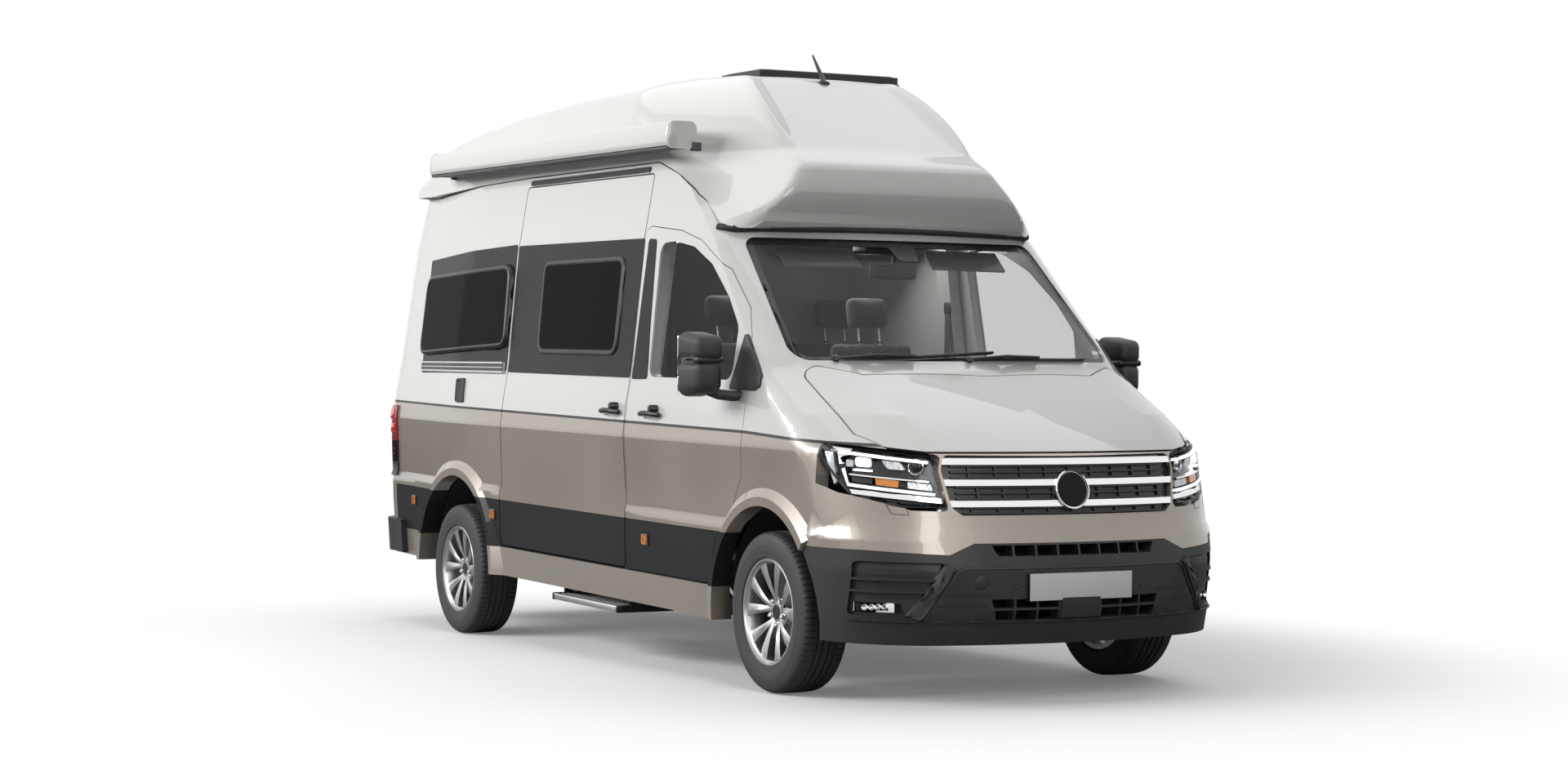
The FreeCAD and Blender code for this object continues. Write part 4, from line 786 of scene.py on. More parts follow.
finish_mesh("side_flap", bm, black_plastic, "van_body", smooth=30)
for name, x, z in (("rear", -2.371, 0.654), ("middle", -1.099, 0.649), ("front", 0.798, 0.642)):
    for side, place in (("right", right_side), ("left", left_side)):
        body = BODY_OF["cab_door_" + side] if name == "front" else "van_body"
        outline = rectangle(x - 0.034, z - 0.030, x + 0.034, z + 0.030)
        bm = bmesh.new()
        add_stepped(bm, rounded(outline, 0.006), place,
                    [(0.001, 0.005, 0), (0.005, 0.006, 0), (0.006, 0.010, 1), (0.010, 0.013, 1)], base=-0.002)
        finish_mesh("marker_%s_%s" % (name, side), bm, [satin_black, amber], body, smooth=30)


def door_handle(name, middle, place, sign, body):
    """A grip on two feet with a thumb pad, over a shallow cup in the panel."""
    bm = bmesh.new()
    x0, z0 = middle
    ring = [(x0 + 0.085 * math.cos(a), z0 - 0.006 + 0.034 * math.sin(a)) for a in
            [math.tau * k / 32 for k in range(32)]]
    add_stepped(bm, ring, place, [(0.002, 0.002, 1), (0.006, 0.0025, 1), (0.012, -0.001, 1),
                                  (0.022, -0.002, 1)], base=-0.003)
    surface = side_half(x0, z0)
    spine = []
    for k in range(13):
        t = k / 12
        out = 0.012 + 0.030 * math.sin(math.pi * t) ** 0.6
        spine.append((x0 - 0.098 + 0.196 * t, sign * (surface + out), z0 + 0.006 * math.sin(math.pi * t)))
    add_tube(bm, spine, 0.0125, 12)
    add_turned(bm, [(-0.01, 0.0), (-0.01, 0.021), (0.030, 0.021), (0.036, 0.017), (0.038, 0.0)],
               (x0 + 0.040, sign * surface, z0 + 0.026), (0, sign, 0), 24)
    return finish_mesh(name, bm, [satin_black, white_paint], body, smooth=40)


door_handle("handle_slider", (0.391, 1.240), right_side, -1, "van_body")
door_handle("handle_cab_right", (0.838, 1.238), right_side, -1, BODY_OF["cab_door_right"])
door_handle("handle_cab_left", (0.838, 1.238), left_side, 1, BODY_OF["cab_door_left"])
print("side trim is on")

# %% [markdown]
# ## Wheels
# A tyre is a ring of sections. The grooves that run round it are part of the section, and every third ring
# drops the shoulders a little, which cuts them into blocks. The wheel has ten blades in five pairs: each is
# lofted through four five-cornered sections, so a ridge runs along it. Five bolts stand between the pairs,
# round a plain cap.

# %% Tyres
TREAD = [(0.0120, 0.3560), (0.0125, 0.3490), (0.0205, 0.3490), (0.0210, 0.3560), (0.0415, 0.3556),
         (0.0420, 0.3486), (0.0500, 0.3484), (0.0505, 0.3552), (0.0640, 0.3548), (0.0800, 0.3538),
         (0.0920, 0.3510), (0.1005, 0.3465)]
WALL = [(0.1060, 0.3400), (0.1110, 0.3300), (0.1150, 0.3150), (0.1165, 0.3000), (0.1172, 0.2935),
        (0.1180, 0.2925), (0.1180, 0.2900), (0.1170, 0.2890), (0.1168, 0.2750), (0.1150, 0.2600),
        (0.1120, 0.2480), (0.1122, 0.2450), (0.1085, 0.2420), (0.1040, 0.2360), (0.0990, 0.2290),
        (0.0960, 0.2250)]
BLOCKS, SIPE = 76, 0.16
SHOULDER_FROM, SHOULDER_TO, SIPE_DEPTH = 0.0550, 0.1060, 0.0060
half_section = TREAD + WALL
section = [(-a, r) for a, r in reversed(half_section)] + half_section


def tyre_mesh(centre):
    """One tyre round its centre."""
    bm = bmesh.new()
    turns = []
    for block in range(BLOCKS):
        step = math.tau / BLOCKS
        turns += [(block * step, 0), ((block + 1 - SIPE) * step, 0),
                  ((block + 1 - SIPE / 2) * step, SIPE_DEPTH)]
    rings = []
    for angle, drop in turns:
        ring = []
        for across, radius in section:
            lower = drop if SHOULDER_FROM < abs(across) < SHOULDER_TO and radius > 0.3 else 0
            reach = radius - lower
            spot = Vector((reach * math.cos(angle), across, reach * math.sin(angle)))
            ring.append(bm.verts.new(centre + spot))
        rings.append(ring)
    for a, b in zip(rings, rings[1:] + rings[:1]):
        for i in range(len(a) - 1):
            bm.faces.new((a[i], a[i + 1], b[i + 1], b[i]))
        bm.faces.new((a[-1], a[0], b[0], b[-1]))
    return bm


WHEELS = {}
for corner in ("front_right", "front_left", "rear_right", "rear_left"):
    low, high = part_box("tyre_" + corner)
    WHEELS[corner] = (Vector(low) + Vector(high)) / 2
    tyre = finish_mesh("road_tyre_" + corner, tyre_mesh(WHEELS[corner]), rubber, BODY_OF["tyre_" + corner],
                       smooth=30, raked=False)
    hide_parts("tyre_" + corner)
print("tyres:", len(WHEELS), "sections each:", BLOCKS * 3)

# %% Wheels
BLADE = [(0.034, 6.0, 0.0100, 0.060, 0.000, 0.020), (0.060, 8.0, 0.0115, 0.066, 0.004, 0.026),
         (0.110, 13.5, 0.0165, 0.079, 0.007, 0.030), (0.170, 17.0, 0.0240, 0.090, 0.007, 0.030),
         (0.214, 18.5, 0.0290, 0.094, 0.002, 0.030)]
BARREL = [(0.1040, 0.2360), (0.1080, 0.2320), (0.1075, 0.2260), (0.0990, 0.2225), (0.0900, 0.2130),
          (0.0600, 0.2060), (-0.0600, 0.2000), (-0.1000, 0.2120), (-0.1040, 0.2320), (-0.1000, 0.2360),
          (-0.0920, 0.2250), (-0.0500, 0.2080), (0.0500, 0.2130), (0.0880, 0.2225), (0.0950, 0.2320)]
BOLT_CIRCLE, BOLT_RADIUS = 0.056, 0.0105


def add_blade(bm, centre, side, middle, lean):
    """One spoke, lofted through its sections: radius, angle, half width, face, ridge, thickness."""
    rows = []
    for radius, swing, half, face, ridge, thick in BLADE:
        angle = math.radians(middle + lean * swing)
        out = Vector((math.cos(angle), 0, math.sin(angle)))
        across = Vector((-math.sin(angle), 0, math.cos(angle)))
        axis = Vector((0, side, 0))
        spots = [(-half, face), (lean * half * 0.25, face + ridge), (half, face), (half * 0.8, face - thick),
                 (-half * 0.8, face - thick)]
        rows.append([bm.verts.new(centre + out * radius + across * s + axis * h) for s, h in spots])
    for a, b in zip(rows, rows[1:]):
        for i in range(5):
            bm.faces.new((a[i], a[(i + 1) % 5], b[(i + 1) % 5], b[i]))
    bm.faces.new(rows[0])
    bm.faces.new(rows[-1])


for corner, centre in WHEELS.items():
    side = 1 if "left" in corner else -1
    outward = Vector((0, side, 0))
    bm = bmesh.new()
    add_turned(bm, [(a, r) for a, r in BARREL], centre, outward, 96)
    add_turned(bm, [(0.010, 0.026), (0.010, 0.070), (0.046, 0.072), (0.056, 0.066), (0.062, 0.052),
                    (0.064, 0.034), (0.060, 0.030), (0.044, 0.028)], centre, outward, 60)
    for pair in range(5):
        for lean in (1, -1):
            add_blade(bm, centre, side, 90 + 72 * pair, lean)
    rim = finish_mesh("alloy_" + corner, bm, alloy_silver, BODY_OF["rim_" + corner], smooth=24,
                      raked=False)
    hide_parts("rim_" + corner)
    bm = bmesh.new()
    add_turned(bm, [(-0.045, 0.075), (-0.045, 0.148), (-0.034, 0.148), (-0.033, 0.140), (-0.029, 0.140),
                    (-0.028, 0.148), (-0.017, 0.148), (-0.017, 0.090), (0.014, 0.086), (0.018, 0.080),
                    (0.018, 0.035), (-0.030, 0.035)], centre, outward, 72)
    add_turned(bm, [(0.040, 0.0), (0.040, 0.033), (0.063, 0.033), (0.067, 0.031), (0.068, 0.028),
                    (0.066, 0.026), (0.066, 0.0)], centre, outward, 40, material=1)
    for k in range(5):
        angle = math.radians(-90 + 72 * k)
        foot = centre + Vector((math.cos(angle), 0, math.sin(angle))) * BOLT_CIRCLE
        add_turned(bm, [(0.030, 0.0), (0.030, 0.0135), (0.058, 0.0135), (0.059, 0.0115),
                        (0.070, BOLT_RADIUS), (0.074, BOLT_RADIUS - 0.002), (0.074, 0.005), (0.071, 0.004),
                        (0.071, 0.0)], foot, outward, 12, material=2)
    finish_mesh("brake_disc_and_bolts_" + corner, bm, [bare_steel, satin_black, chrome],
                BODY_OF["rim_" + corner], raked=False)
print("wheels: ten blades each")

# %% [markdown]
# ## The nose
# The lamps wrap round the corner of the nose, so their outlines are drawn round an upright axis inside the
# engine bay: one number is the angle round that axis and the other is the height. The reach from the axis to
# the skin is close to one metre, so an angle in radians also reads as metres along the skin.

# %% Headlamps
NOSE_AXIS = Vector((2.0, 0, 0))


def nose_face(sign):
    """The skin of the nose seen from an upright axis, on one side of the van."""
    def place(angle, z, lift):
        out = Vector((math.cos(angle), sign * math.sin(angle), 0))
        start = NOSE_AXIS + out * 2.0 + Vector((0, 0, z))
        found = seat(front_tree, start, -out)
        if found is None:
            found = front_tree.find_nearest(NOSE_AXIS + out + Vector((0, 0, z)))[0]
        return found + out * lift
    return place


lamp_glow = new_material("lamp_glow", (0.9, 0.95, 1.0), 0.3)
tune(lamp_glow, {"Emission Color": (0.92, 0.96, 1.0, 1), "Emission Strength": 0.85})
fine = add_noise(lamp_glow, 700.0, 1.0)
vary(lamp_glow, fine.outputs["Fac"], "Roughness", 0.25, 0.4)
ribbed_lens = new_material("ribbed_reflector", (0.50, 0.51, 0.52), 0.22, metallic=0.7)
bump_with(ribbed_lens, add_noise(ribbed_lens, 260.0, 0.0, (1, 1, 0.05)).outputs["Fac"], 0.7, 0.002)
lamp_lens = tinted_glass("lamp_lens", (0.96, 0.97, 0.98), 1.0, 0.0)
LAMP_EDGE = [(1.150, 1.160), (0.672, 1.115), (0.630, 1.050), (0.608, 0.903), (0.780, 0.905), (0.990, 0.950),
             (1.085, 1.040), (1.145, 1.110)]
LED_UPPER = [(0.690, 1.090), (1.066, 1.131), (1.045, 1.080)]
LED_LOWER = [(1.034, 1.060), (1.006, 0.993), (0.655, 0.957)]
LAMP_FLOOR = -0.045
LAMP_PARTS = [
    # outline, radius, top, material: 0 tray, 1 glow, 2 chrome, 3 amber, 4 ribbed, 5 black
    ([(0.985, 1.110), (0.925, 1.106), (0.920, 1.066), (0.980, 1.069)], 0.012, -0.020, 1),
    ([(0.990, 1.060), (0.915, 1.056), (0.915, 1.047), (0.990, 1.051)], 0.002, -0.018, 1),
    ([(1.028, 1.098), (0.994, 1.095), (0.994, 1.066), (1.024, 1.068)], 0.004, -0.026, 4),
    ([(0.880, 1.100), (0.800, 1.092), (0.775, 1.056), (0.850, 1.060)], 0.012, -0.026, 4),
    ([(1.000, 1.030), (0.905, 1.020), (0.905, 0.996), (0.992, 1.004)], 0.003, -0.026, 5),
    ([(0.896, 1.024), (0.800, 1.014), (0.800, 0.984), (0.890, 0.994)], 0.003, -0.022, 3),
    ([(0.764, 1.010), (0.672, 1.000), (0.660, 0.970), (0.764, 0.982)], 0.004, -0.022, 4),
    ([(1.000, 0.976), (0.628, 0.943), (0.622, 0.920), (0.985, 0.955)], 0.006, -0.014, 2),
    ([(1.110, 1.152), (1.000, 1.142), (1.015, 1.126), (1.070, 1.134)], 0.006, -0.016, 2),
    ([(1.135, 1.130), (1.092, 1.128), (1.060, 1.000), (1.075, 0.990)], 0.006, -0.024, 4),
]
for name, sign in (("right", -1), ("left", 1)):
    place = nose_face(sign)
    bm = bmesh.new()
    edge = rounded(LAMP_EDGE, 0.018, pitch=0.04)
    add_stepped(bm, edge, place, [(0.002, -0.012, 0), (0.012, -0.048, 0)], base=-0.010, pitch=0.05,
                floor=False)
    for outline, radius, top, material in LAMP_PARTS:
        add_stepped(bm, rounded(outline, radius, pitch=0.04), place, [(0.001, top, material)],
                    base=LAMP_FLOOR, pitch=0.05)
    for path in (LED_UPPER, LED_LOWER):
        add_stepped(bm, rounded(ribbon(path, 0.0135), pitch=0.04), place, [(0.001, -0.016, 1)],
                    base=LAMP_FLOOR)
        add_stepped(bm, rounded(ribbon(path, 0.026), pitch=0.04), place, [(0.002, -0.022, 5)],
                    base=LAMP_FLOOR)
    add_stepped(bm, rounded(ribbon([(1.004, 1.037), (0.680, 1.010)], 0.008), pitch=0.04), place,
                [(0.001, -0.016, 2)], base=LAMP_FLOOR)
    out = Vector((math.cos(0.76), sign * math.sin(0.76), 0))
    eye = place(0.735, 1.071, LAMP_FLOOR)
    add_turned(bm, [(0.0, 0.0), (0.0, 0.036), (0.022, 0.034), (0.024, 0.030), (0.012, 0.027), (0.012, 0.0)],
               eye, out, 32, material=2)
    add_turned(bm, [(0.012, 0.0), (0.012, 0.026), (0.020, 0.021), (0.024, 0.012), (0.0255, 0.0)], eye, out,
               32, material=5)
    gloss = moulded("lamp_tray_black_" + name, (0.020, 0.021, 0.022), 0.18, depth=0.04)
    finish_mesh("headlamp_inside_" + name, bm, [gloss, lamp_glow, chrome, amber, ribbed_lens, satin_black],
                BODY_OF["headlamps"], smooth=30)
bm = merged_copy("headlamps")
for face in bm.faces:
    face.material_index = 0
lens = finish_mesh("headlamp_lenses", bm, lamp_lens, BODY_OF["headlamps"], smooth=30)
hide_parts("headlamps")
print("headlamps: 2 with", len(LAMP_PARTS), "parts each")

# %% [markdown]
# The grille has three bright bars over rows of black cells, and a plain round boss that is left bare. The
# bumper is black below a line that steps up over the slot in the middle. A blank plate sits on it, with four
# small parking sensors and the round cover of the towing eye.

# %% Grille and boss
BARS, BAR_HALF, SLAT_HALF, POST_PITCH = (1.096, 1.008, 0.920), 0.0135, 0.0035, 0.117
# upper edge, lower edge, half width and sideways shift of each row of cells
CELL_ROWS = ((1.083, 1.021, 0.545, 0.0), (0.995, 0.933, 0.530, 0.03), (0.907, 0.876, 0.505, 0.0))
grille_tree = tree_of("grille")


def on_grille(y, z, lift):
    """The grille seen from the front."""
    found = seat(grille_tree, (3.4, y, z), (-1, 0, 0)) or grille_tree.find_nearest(Vector((2.85, y, z)))[0]
    return Vector((found.x + lift, y, z))


dress("grille", [satin_black, chrome], BODY_OF["grille"],
      lambda place: 1 if min(abs(place.z - bar) for bar in BARS) < BAR_HALF else 0,
      [((0, 0, bar + half), (0, 0, 1)) for bar in BARS for half in (-BAR_HALF, BAR_HALF)])
bm = bmesh.new()
for upper, lower, half, shift in CELL_ROWS:
    tall = upper - lower > 0.04
    for z in (upper - 0.006, (upper + lower) / 2, lower + 0.006) if tall else (upper - 0.004, lower + 0.004):
        add_stepped(bm, rounded(rectangle(-half, z - SLAT_HALF, half, z + SLAT_HALF)), on_grille,
                    [(0.0005, 0.014, 0)], base=-0.002)
    for k in range(-4, 5):
        y = k * POST_PITCH + shift
        if abs(y) < half - 0.02:
            outline = rectangle(y - SLAT_HALF, lower + 0.002, y + SLAT_HALF, upper - 0.002)
            add_stepped(bm, rounded(outline), on_grille, [(0.0005, 0.012, 0)], base=-0.002)
finish_mesh("grille_cells", bm, satin_black, BODY_OF["grille"], smooth=30)
bm = bmesh.new()
tilt = Vector((math.cos(math.radians(12)), 0, math.sin(math.radians(12))))
boss = Vector((2.905, 0.0, 0.975))
add_turned(bm, [(-0.045, 0.0), (-0.045, 0.080), (0.004, 0.085), (0.012, 0.0855), (0.016, 0.083),
                (0.015, 0.079), (0.009, 0.077), (0.009, 0.0)], boss, tilt, 72)
add_turned(bm, [(0.008, 0.0), (0.008, 0.0765), (0.0115, 0.074), (0.0135, 0.045), (0.0140, 0.0)], boss, tilt,
           72, material=1)
finish_mesh("plain_boss", bm, [chrome, band_film], BODY_OF["grille"], smooth=30)
print("grille rows:", len(CELL_ROWS), "and a bare boss")

# %% Bumper
LINE_SIDE, LINE_CORNER, LINE_TOP = 0.726, 0.710, 0.757
STEP_IN, STEP_OUT, LINE_RUN = 0.485, 0.594, 0.3


def bumper_line(y):
    """Height where the painted part of the bumper ends."""
    y = abs(y)
    if y < STEP_IN:
        return LINE_TOP
    if y < STEP_OUT:
        return LINE_TOP + (LINE_CORNER - LINE_TOP) * (y - STEP_IN) / (STEP_OUT - STEP_IN)
    return LINE_CORNER + (LINE_SIDE - LINE_CORNER) * min(1.0, (y - STEP_OUT) / LINE_RUN)


def bumper_cuts():
    """Planes along the edge of the painted part of the bumper."""
    rise = (LINE_SIDE - LINE_CORNER) / LINE_RUN
    cuts = [((0, 0, LINE_TOP), (0, 0, 1)), ((0, 0, LINE_SIDE), (0, 0, 1))]
    for sign in (-1, 1):
        cuts += [((0, sign * y, 0), (0, 1, 0)) for y in (STEP_IN, STEP_OUT, STEP_OUT + LINE_RUN)]
        cuts.append(((0, sign * STEP_OUT, LINE_CORNER),
                     Vector((0, LINE_TOP - LINE_CORNER, sign * (STEP_OUT - STEP_IN))).normalized()))
        cuts.append(((0, sign * STEP_OUT, LINE_CORNER), Vector((0, -sign * rise, 1)).normalized()))
    return cuts


dress("front_bumper", [black_plastic, taupe_paint, satin_black], BODY_OF["front_bumper"],
      lambda place: 1 if place.z > bumper_line(place.y) else 0, bumper_cuts())
bm = bmesh.new()
PANEL_EDGE = [(-0.700, 0.436), (-0.606, 0.590), (-0.575, 0.640), (-0.545, 0.655), (0.545, 0.655),
              (0.575, 0.640), (0.606, 0.590), (0.700, 0.436)]
add_stepped(bm, rounded(ribbon(PANEL_EDGE, 0.014), pitch=0.04), front_face, [(0.003, 0.007, 0)], base=-0.004)
for y0, y1, z in ((-0.640, -0.425, 0.545), (-0.665, -0.410, 0.500), (0.425, 0.640, 0.545),
                  (0.410, 0.665, 0.500)):
    add_stepped(bm, rounded(ribbon([(y0, z), (y1, z)], 0.008), pitch=0.04), front_face, [(0.002, 0.006, 0)],
                base=-0.004)
for sign in (-1, 1):
    place = nose_face(sign)
    add_stepped(bm, rounded(ribbon([(sign * 0.592, 0.672), (sign * 0.735, 0.440)], 0.052), 0.006, pitch=0.04),
                front_face, [(0.004, 0.012, 0), (0.016, 0.018, 0)], base=-0.016)
    add_stepped(bm, rounded(ribbon([(0.98, 0.433), (0.84, 0.432), (0.70, 0.430)], 0.014), pitch=0.05), place,
                [(0.004, 0.010, 0)], base=-0.006)
    for z in (0.648, 0.624, 0.578, 0.528):
        reach = 0.655 + (0.677 - z) * 0.42
        add_stepped(bm, rounded(ribbon([(sign * reach, z), (sign * 0.915, z)], 0.006), pitch=0.04),
                    front_face, [(0.001, 0.005, 0)], base=-0.004)
add_stepped(bm, rounded(ribbon([(-0.72, 0.430), (0.0, 0.428), (0.72, 0.430)], 0.014), pitch=0.05), front_face,
            [(0.004, 0.010, 0)], base=-0.006)
block = [(-0.100, 0.530), (0.100, 0.530), (0.108, 0.436), (-0.108, 0.436)]
add_stepped(bm, rounded(block, 0.008, pitch=0.04), front_face, [(0.006, 0.010, 0)], base=-0.006)
for y, z, radius in ((-0.467, 0.593, 0.034), (-0.304, 0.574, 0.0125), (0.331, 0.566, 0.0125),
                     (-0.845, 0.600, 0.0125), (0.845, 0.600, 0.0125)):
    add_stepped(bm, circle(y, z, radius, 28), front_face,
                [(0.0005, 0.0022, 0), (0.0025, 0.0012, 0), (0.0045, 0.0022, 0)], base=-0.003)
finish_mesh("bumper_trim", bm, black_plastic, BODY_OF["front_bumper"], smooth=32)
bm = bmesh.new()
add_block(bm, (2.972, -0.262, 0.512), (2.9925, 0.262, 0.634), 0.003, 2, material=1)
add_block(bm, (2.990, -0.258, 0.516), (2.9955, 0.258, 0.630), 0.0022, 2)
plate_grey = moulded("plate_grey", (0.86, 0.86, 0.87), 0.35, depth=0.05)
finish_mesh("blank_plate", bm, [plate_grey, satin_black], BODY_OF["front_bumper"])
for name, sign in (("right", -1), ("left", 1)):
    bm = bmesh.new()
    window = [(sign * 0.762, 0.466), (sign * 0.774, 0.502), (sign * 0.902, 0.502), (sign * 0.902, 0.466)]
    # The window opens onto a near-black face behind the bumper: painted shade in the hollow.
    add_stepped(bm, rounded(window, 0.006, pitch=0.04), front_face, [(0.002, -0.030, 0)], base=-0.034,
                floor=False)
    for k in range(4):
        spot = front_face(sign * (0.788 + 0.030 * k), 0.484, -0.012)
        add_turned(bm, [(-0.030, 0.0), (-0.030, 0.006), (-0.004, 0.0135), (0.000, 0.0135), (-0.006, 0.009),
                        (-0.014, 0.0)], spot, (0.9, sign * 0.4, 0), 20, material=1)
    finish_mesh("fog_lamp_" + name, bm, [painted_recess_shade, chrome], BODY_OF["front_bumper"])
bm = bmesh.new()
# A near-black face behind the bumper intake stands for the cooler; its blackness is painted shade in the
# hollow.
add_block(bm, (2.780, -0.47, 0.425), (2.800, 0.47, 0.760), 0.004, 1)
finish_mesh("cooler_face_and_shade", bm, painted_recess_shade, "van_body")
for name, sign in (("right", -1), ("left", 1)):
    bm = bmesh.new()
    flap = [(sign * y, z) for y, z in ((0.811, 0.918), (0.738, 0.903), (0.729, 0.873), (0.791, 0.875))]
    # The thin ring round each flap is painted shade in its shut line.
    add_stepped(bm, rounded(flap, 0.008, pitch=0.04), front_face,
                [(0.0004, 0.0008, 1), (0.0026, 0.0008, 1), (0.0028, 0.0016, 0)], base=-0.002)
    finish_mesh("washer_flap_" + name, bm, [taupe_paint, painted_recess_shade], BODY_OF["front_bumper"])
print("bumper trim is on")

# %% [markdown]
# ## Windscreen, wipers and mirrors
# The glass is bonded behind a black printed border. Below it lies a black scuttle, and the two wiper arms
# rest on that. Each mirror is a shell in two halves with a slit between them, a large glass over a small
# wide-angle one, and a black cover in the corner of the door window.

# %% Windscreen edge and scuttle
screen_tree = tree_of("windscreen")
SCREEN_OUT = Vector((0.70, 0, 0.71))


def on_screen(y, z, lift):
    """The windscreen seen from the front, with lift along its normal."""
    found = seat(screen_tree, (3.6, y, z), (-1, 0, 0))
    if found is None:
        found = screen_tree.find_nearest(Vector((2.15 - 1.396 * (z - 1.476), y, z)))[0]
    return found + SCREEN_OUT * lift


bm = bmesh.new()
RIM = [(-0.842, 1.502), (-0.768, 2.066), (0.768, 2.066), (0.842, 1.502)]
for path, width in ((RIM[:2], 0.050), (RIM[1:3], 0.060), (RIM[2:], 0.050), ([RIM[3], RIM[0]], 0.045)):
    add_sheet(bm, rounded(ribbon(path, width), pitch=0.05), on_screen, 0.0016, 0.003)
add_sheet(bm, rounded([(-0.07, 2.05), (0.07, 2.05), (0.055, 1.97), (-0.055, 1.97)], 0.02), on_screen,
          0.0016, 0.003)
finish_mesh("windscreen_border", bm, black_film, "van_body")
bm = bmesh.new()
# The slots of the scuttle are near-black strips: painted shade where the openings are.
for k in range(13):
    y = -0.60 + 0.1 * k
    add_block(bm, (2.030, y - 0.038, 1.474), (2.052, y + 0.038, 1.4785), 0.0015, 1)
finish_mesh("scuttle_grid", bm, painted_recess_shade, "van_body")
bm = bmesh.new()
for foot, bend, tail, tip in (((-0.693, 1.492), (-0.300, 1.512), (-0.640, 1.498), (0.126, 1.540)),
                              ((-0.024, 1.492), (0.360, 1.506), (0.000, 1.500), (0.639, 1.512))):
    start = on_screen(*foot, 0.014)
    add_turned(bm, [(-0.030, 0.0), (-0.030, 0.020), (0.006, 0.018), (0.012, 0.010), (0.013, 0.0)], start,
               SCREEN_OUT, 20)
    middle = on_screen((foot[0] + bend[0]) / 2, (foot[1] + bend[1]) / 2 - 0.002, 0.036)
    add_tube(bm, [start, middle, on_screen(*bend, 0.030)], 0.0075, 8, 0)
    blade = [(tail[0] + (tip[0] - tail[0]) * k / 8, tail[1] + (tip[1] - tail[1]) * k / 8) for k in range(9)]
    spine = [on_screen(y, z, 0.017) for y, z in blade]
    add_tube(bm, spine, 0.0065, 8, 0)
    add_tube(bm, [p - SCREEN_OUT * 0.009 for p in spine], 0.003, 6, 0)
finish_mesh("wipers", bm, satin_black, "van_body", smooth=40)
print("windscreen edge and wipers are on")

# %% Mirrors
mirror_silver = metal("mirror_silver", (0.90, 0.91, 0.92), 0.045, depth=0.0)
for name, sign, place in (("right", -1, right_side), ("left", 1, left_side)):
    door = "cab_door_" + name
    bm = bmesh.new()
    for low, high, bevel, inner in ((1.506, 1.630, 0.040, 1.052), (1.340, 1.500, 0.045, 1.056)):
        add_block(bm, (1.530, inner, low), (1.745, 1.211, high), bevel, 5)
    for vert in bm.verts:
        along = max(0.0, (vert.co.x - 1.60) / 0.145)
        vert.co.y -= (vert.co.y - 1.135) * 0.22 * along
        vert.co.z -= (vert.co.z - 1.50) * 0.16 * along
        vert.co.x -= 0.028 * max(0.0, (vert.co.y - 1.135) / 0.08) * along
    add_block(bm, (1.545, 1.068, 1.36), (1.700, 1.196, 1.61), 0.02, 3, material=1)
    add_block(bm, (1.526, 1.070, 1.440), (1.5335, 1.198, 1.612), 0.003, 2, material=2)
    add_block(bm, (1.526, 1.072, 1.362), (1.5335, 1.196, 1.430), 0.003, 2, material=2)
    add_tube(bm, [Vector((1.655, 1.110, 1.372)), Vector((1.668, 1.060, 1.352)), Vector((1.690, 1.000, 1.345)),
                  Vector((1.712, 0.930, 1.352))], 0.024, 14, 0)
    add_block(bm, (1.600, 1.062, 1.490), (1.728, 1.196, 1.520), 0.012, 3, material=1)
    if sign < 0:
        for vert in bm.verts:
            vert.co.y = -vert.co.y
        bmesh.ops.reverse_faces(bm, faces=bm.faces)
    shell = finish_mesh("mirror_head_" + name, bm, [black_plastic, satin_black, mirror_silver], door,
                        smooth=40)
    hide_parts("mirror_" + name)
    bm = bmesh.new()
    sail = [(1.690, 1.622), (1.712, 1.622), (1.896, 1.440), (1.896, 1.392), (1.850, 1.372), (1.612, 1.374),
            (1.606, 1.388)]
    add_stepped(bm, rounded(sail, 0.008, pitch=0.05), place, [(0.001, 0.008, 0), (0.006, 0.011, 0)],
                base=-0.004)
    finish_mesh("mirror_cover_" + name, bm, black_plastic, door)
print("mirrors: 2")

# %% [markdown]
# ## Roof
# The high roof is bonded to the cut edge of the steel body, and the joint is a dark bead of sealant. Under
# the overhanging front edge a black strip is painted shadow in the gap to the windscreen frame. The awning
# case is one rounded section with a cap at each end, a lead rail below it, and feet that stand on the roof.

# %% Joint and painted shadow strip
SEAM_LINE = [(-2.522, 2.395), (-2.15, 2.416), (-1.775, 2.433), (-1.108, 2.448), (-0.3, 2.452), (0.499, 2.455),
             (0.741, 2.389), (0.90, 2.318), (1.046, 2.245), (1.229, 2.133)]
shell_tree = tree_of("high_roof", "side_wall_right", "side_wall_left", "door_posts", "front_body")
bm = bmesh.new()
for sign in (-1, 1):
    line = []
    for (x0, z0), (x1, z1) in zip(SEAM_LINE, SEAM_LINE[1:]):
        steps = max(1, round(math.hypot(x1 - x0, z1 - z0) / 0.07))
        for k in range(steps):
            x, z = x0 + (x1 - x0) * k / steps, z0 + (z1 - z0) * k / steps
            found = seat(shell_tree, (x, sign * 3, z), (0, -sign, 0))
            if found is not None:
                line.append(found)
    add_tube(bm, line, 0.0035, 6, 0)
finish_mesh("roof_joint", bm, seal_rubber_and_shadow, "van_body", smooth=45)
# Painted shadow: a black tube under the overhanging front edge, where the gap to the windscreen frame is in
# shade.
bm = bmesh.new()
strip = [Vector(p) for p in ((1.215, -0.842, 2.118), (1.300, -0.800, 2.112), (1.352, -0.640, 2.116),
                             (1.372, -0.320, 2.118), (1.378, 0, 2.118))]
strip += [Vector((p.x, -p.y, p.z)) for p in strip[-2::-1]]
add_tube(bm, strip, 0.017, 10, 0)
finish_mesh("lip_painted_shadow_strip", bm, seal_rubber_and_shadow, "van_body", smooth=45)
print("joint beads: 2, shadow strip: 1")

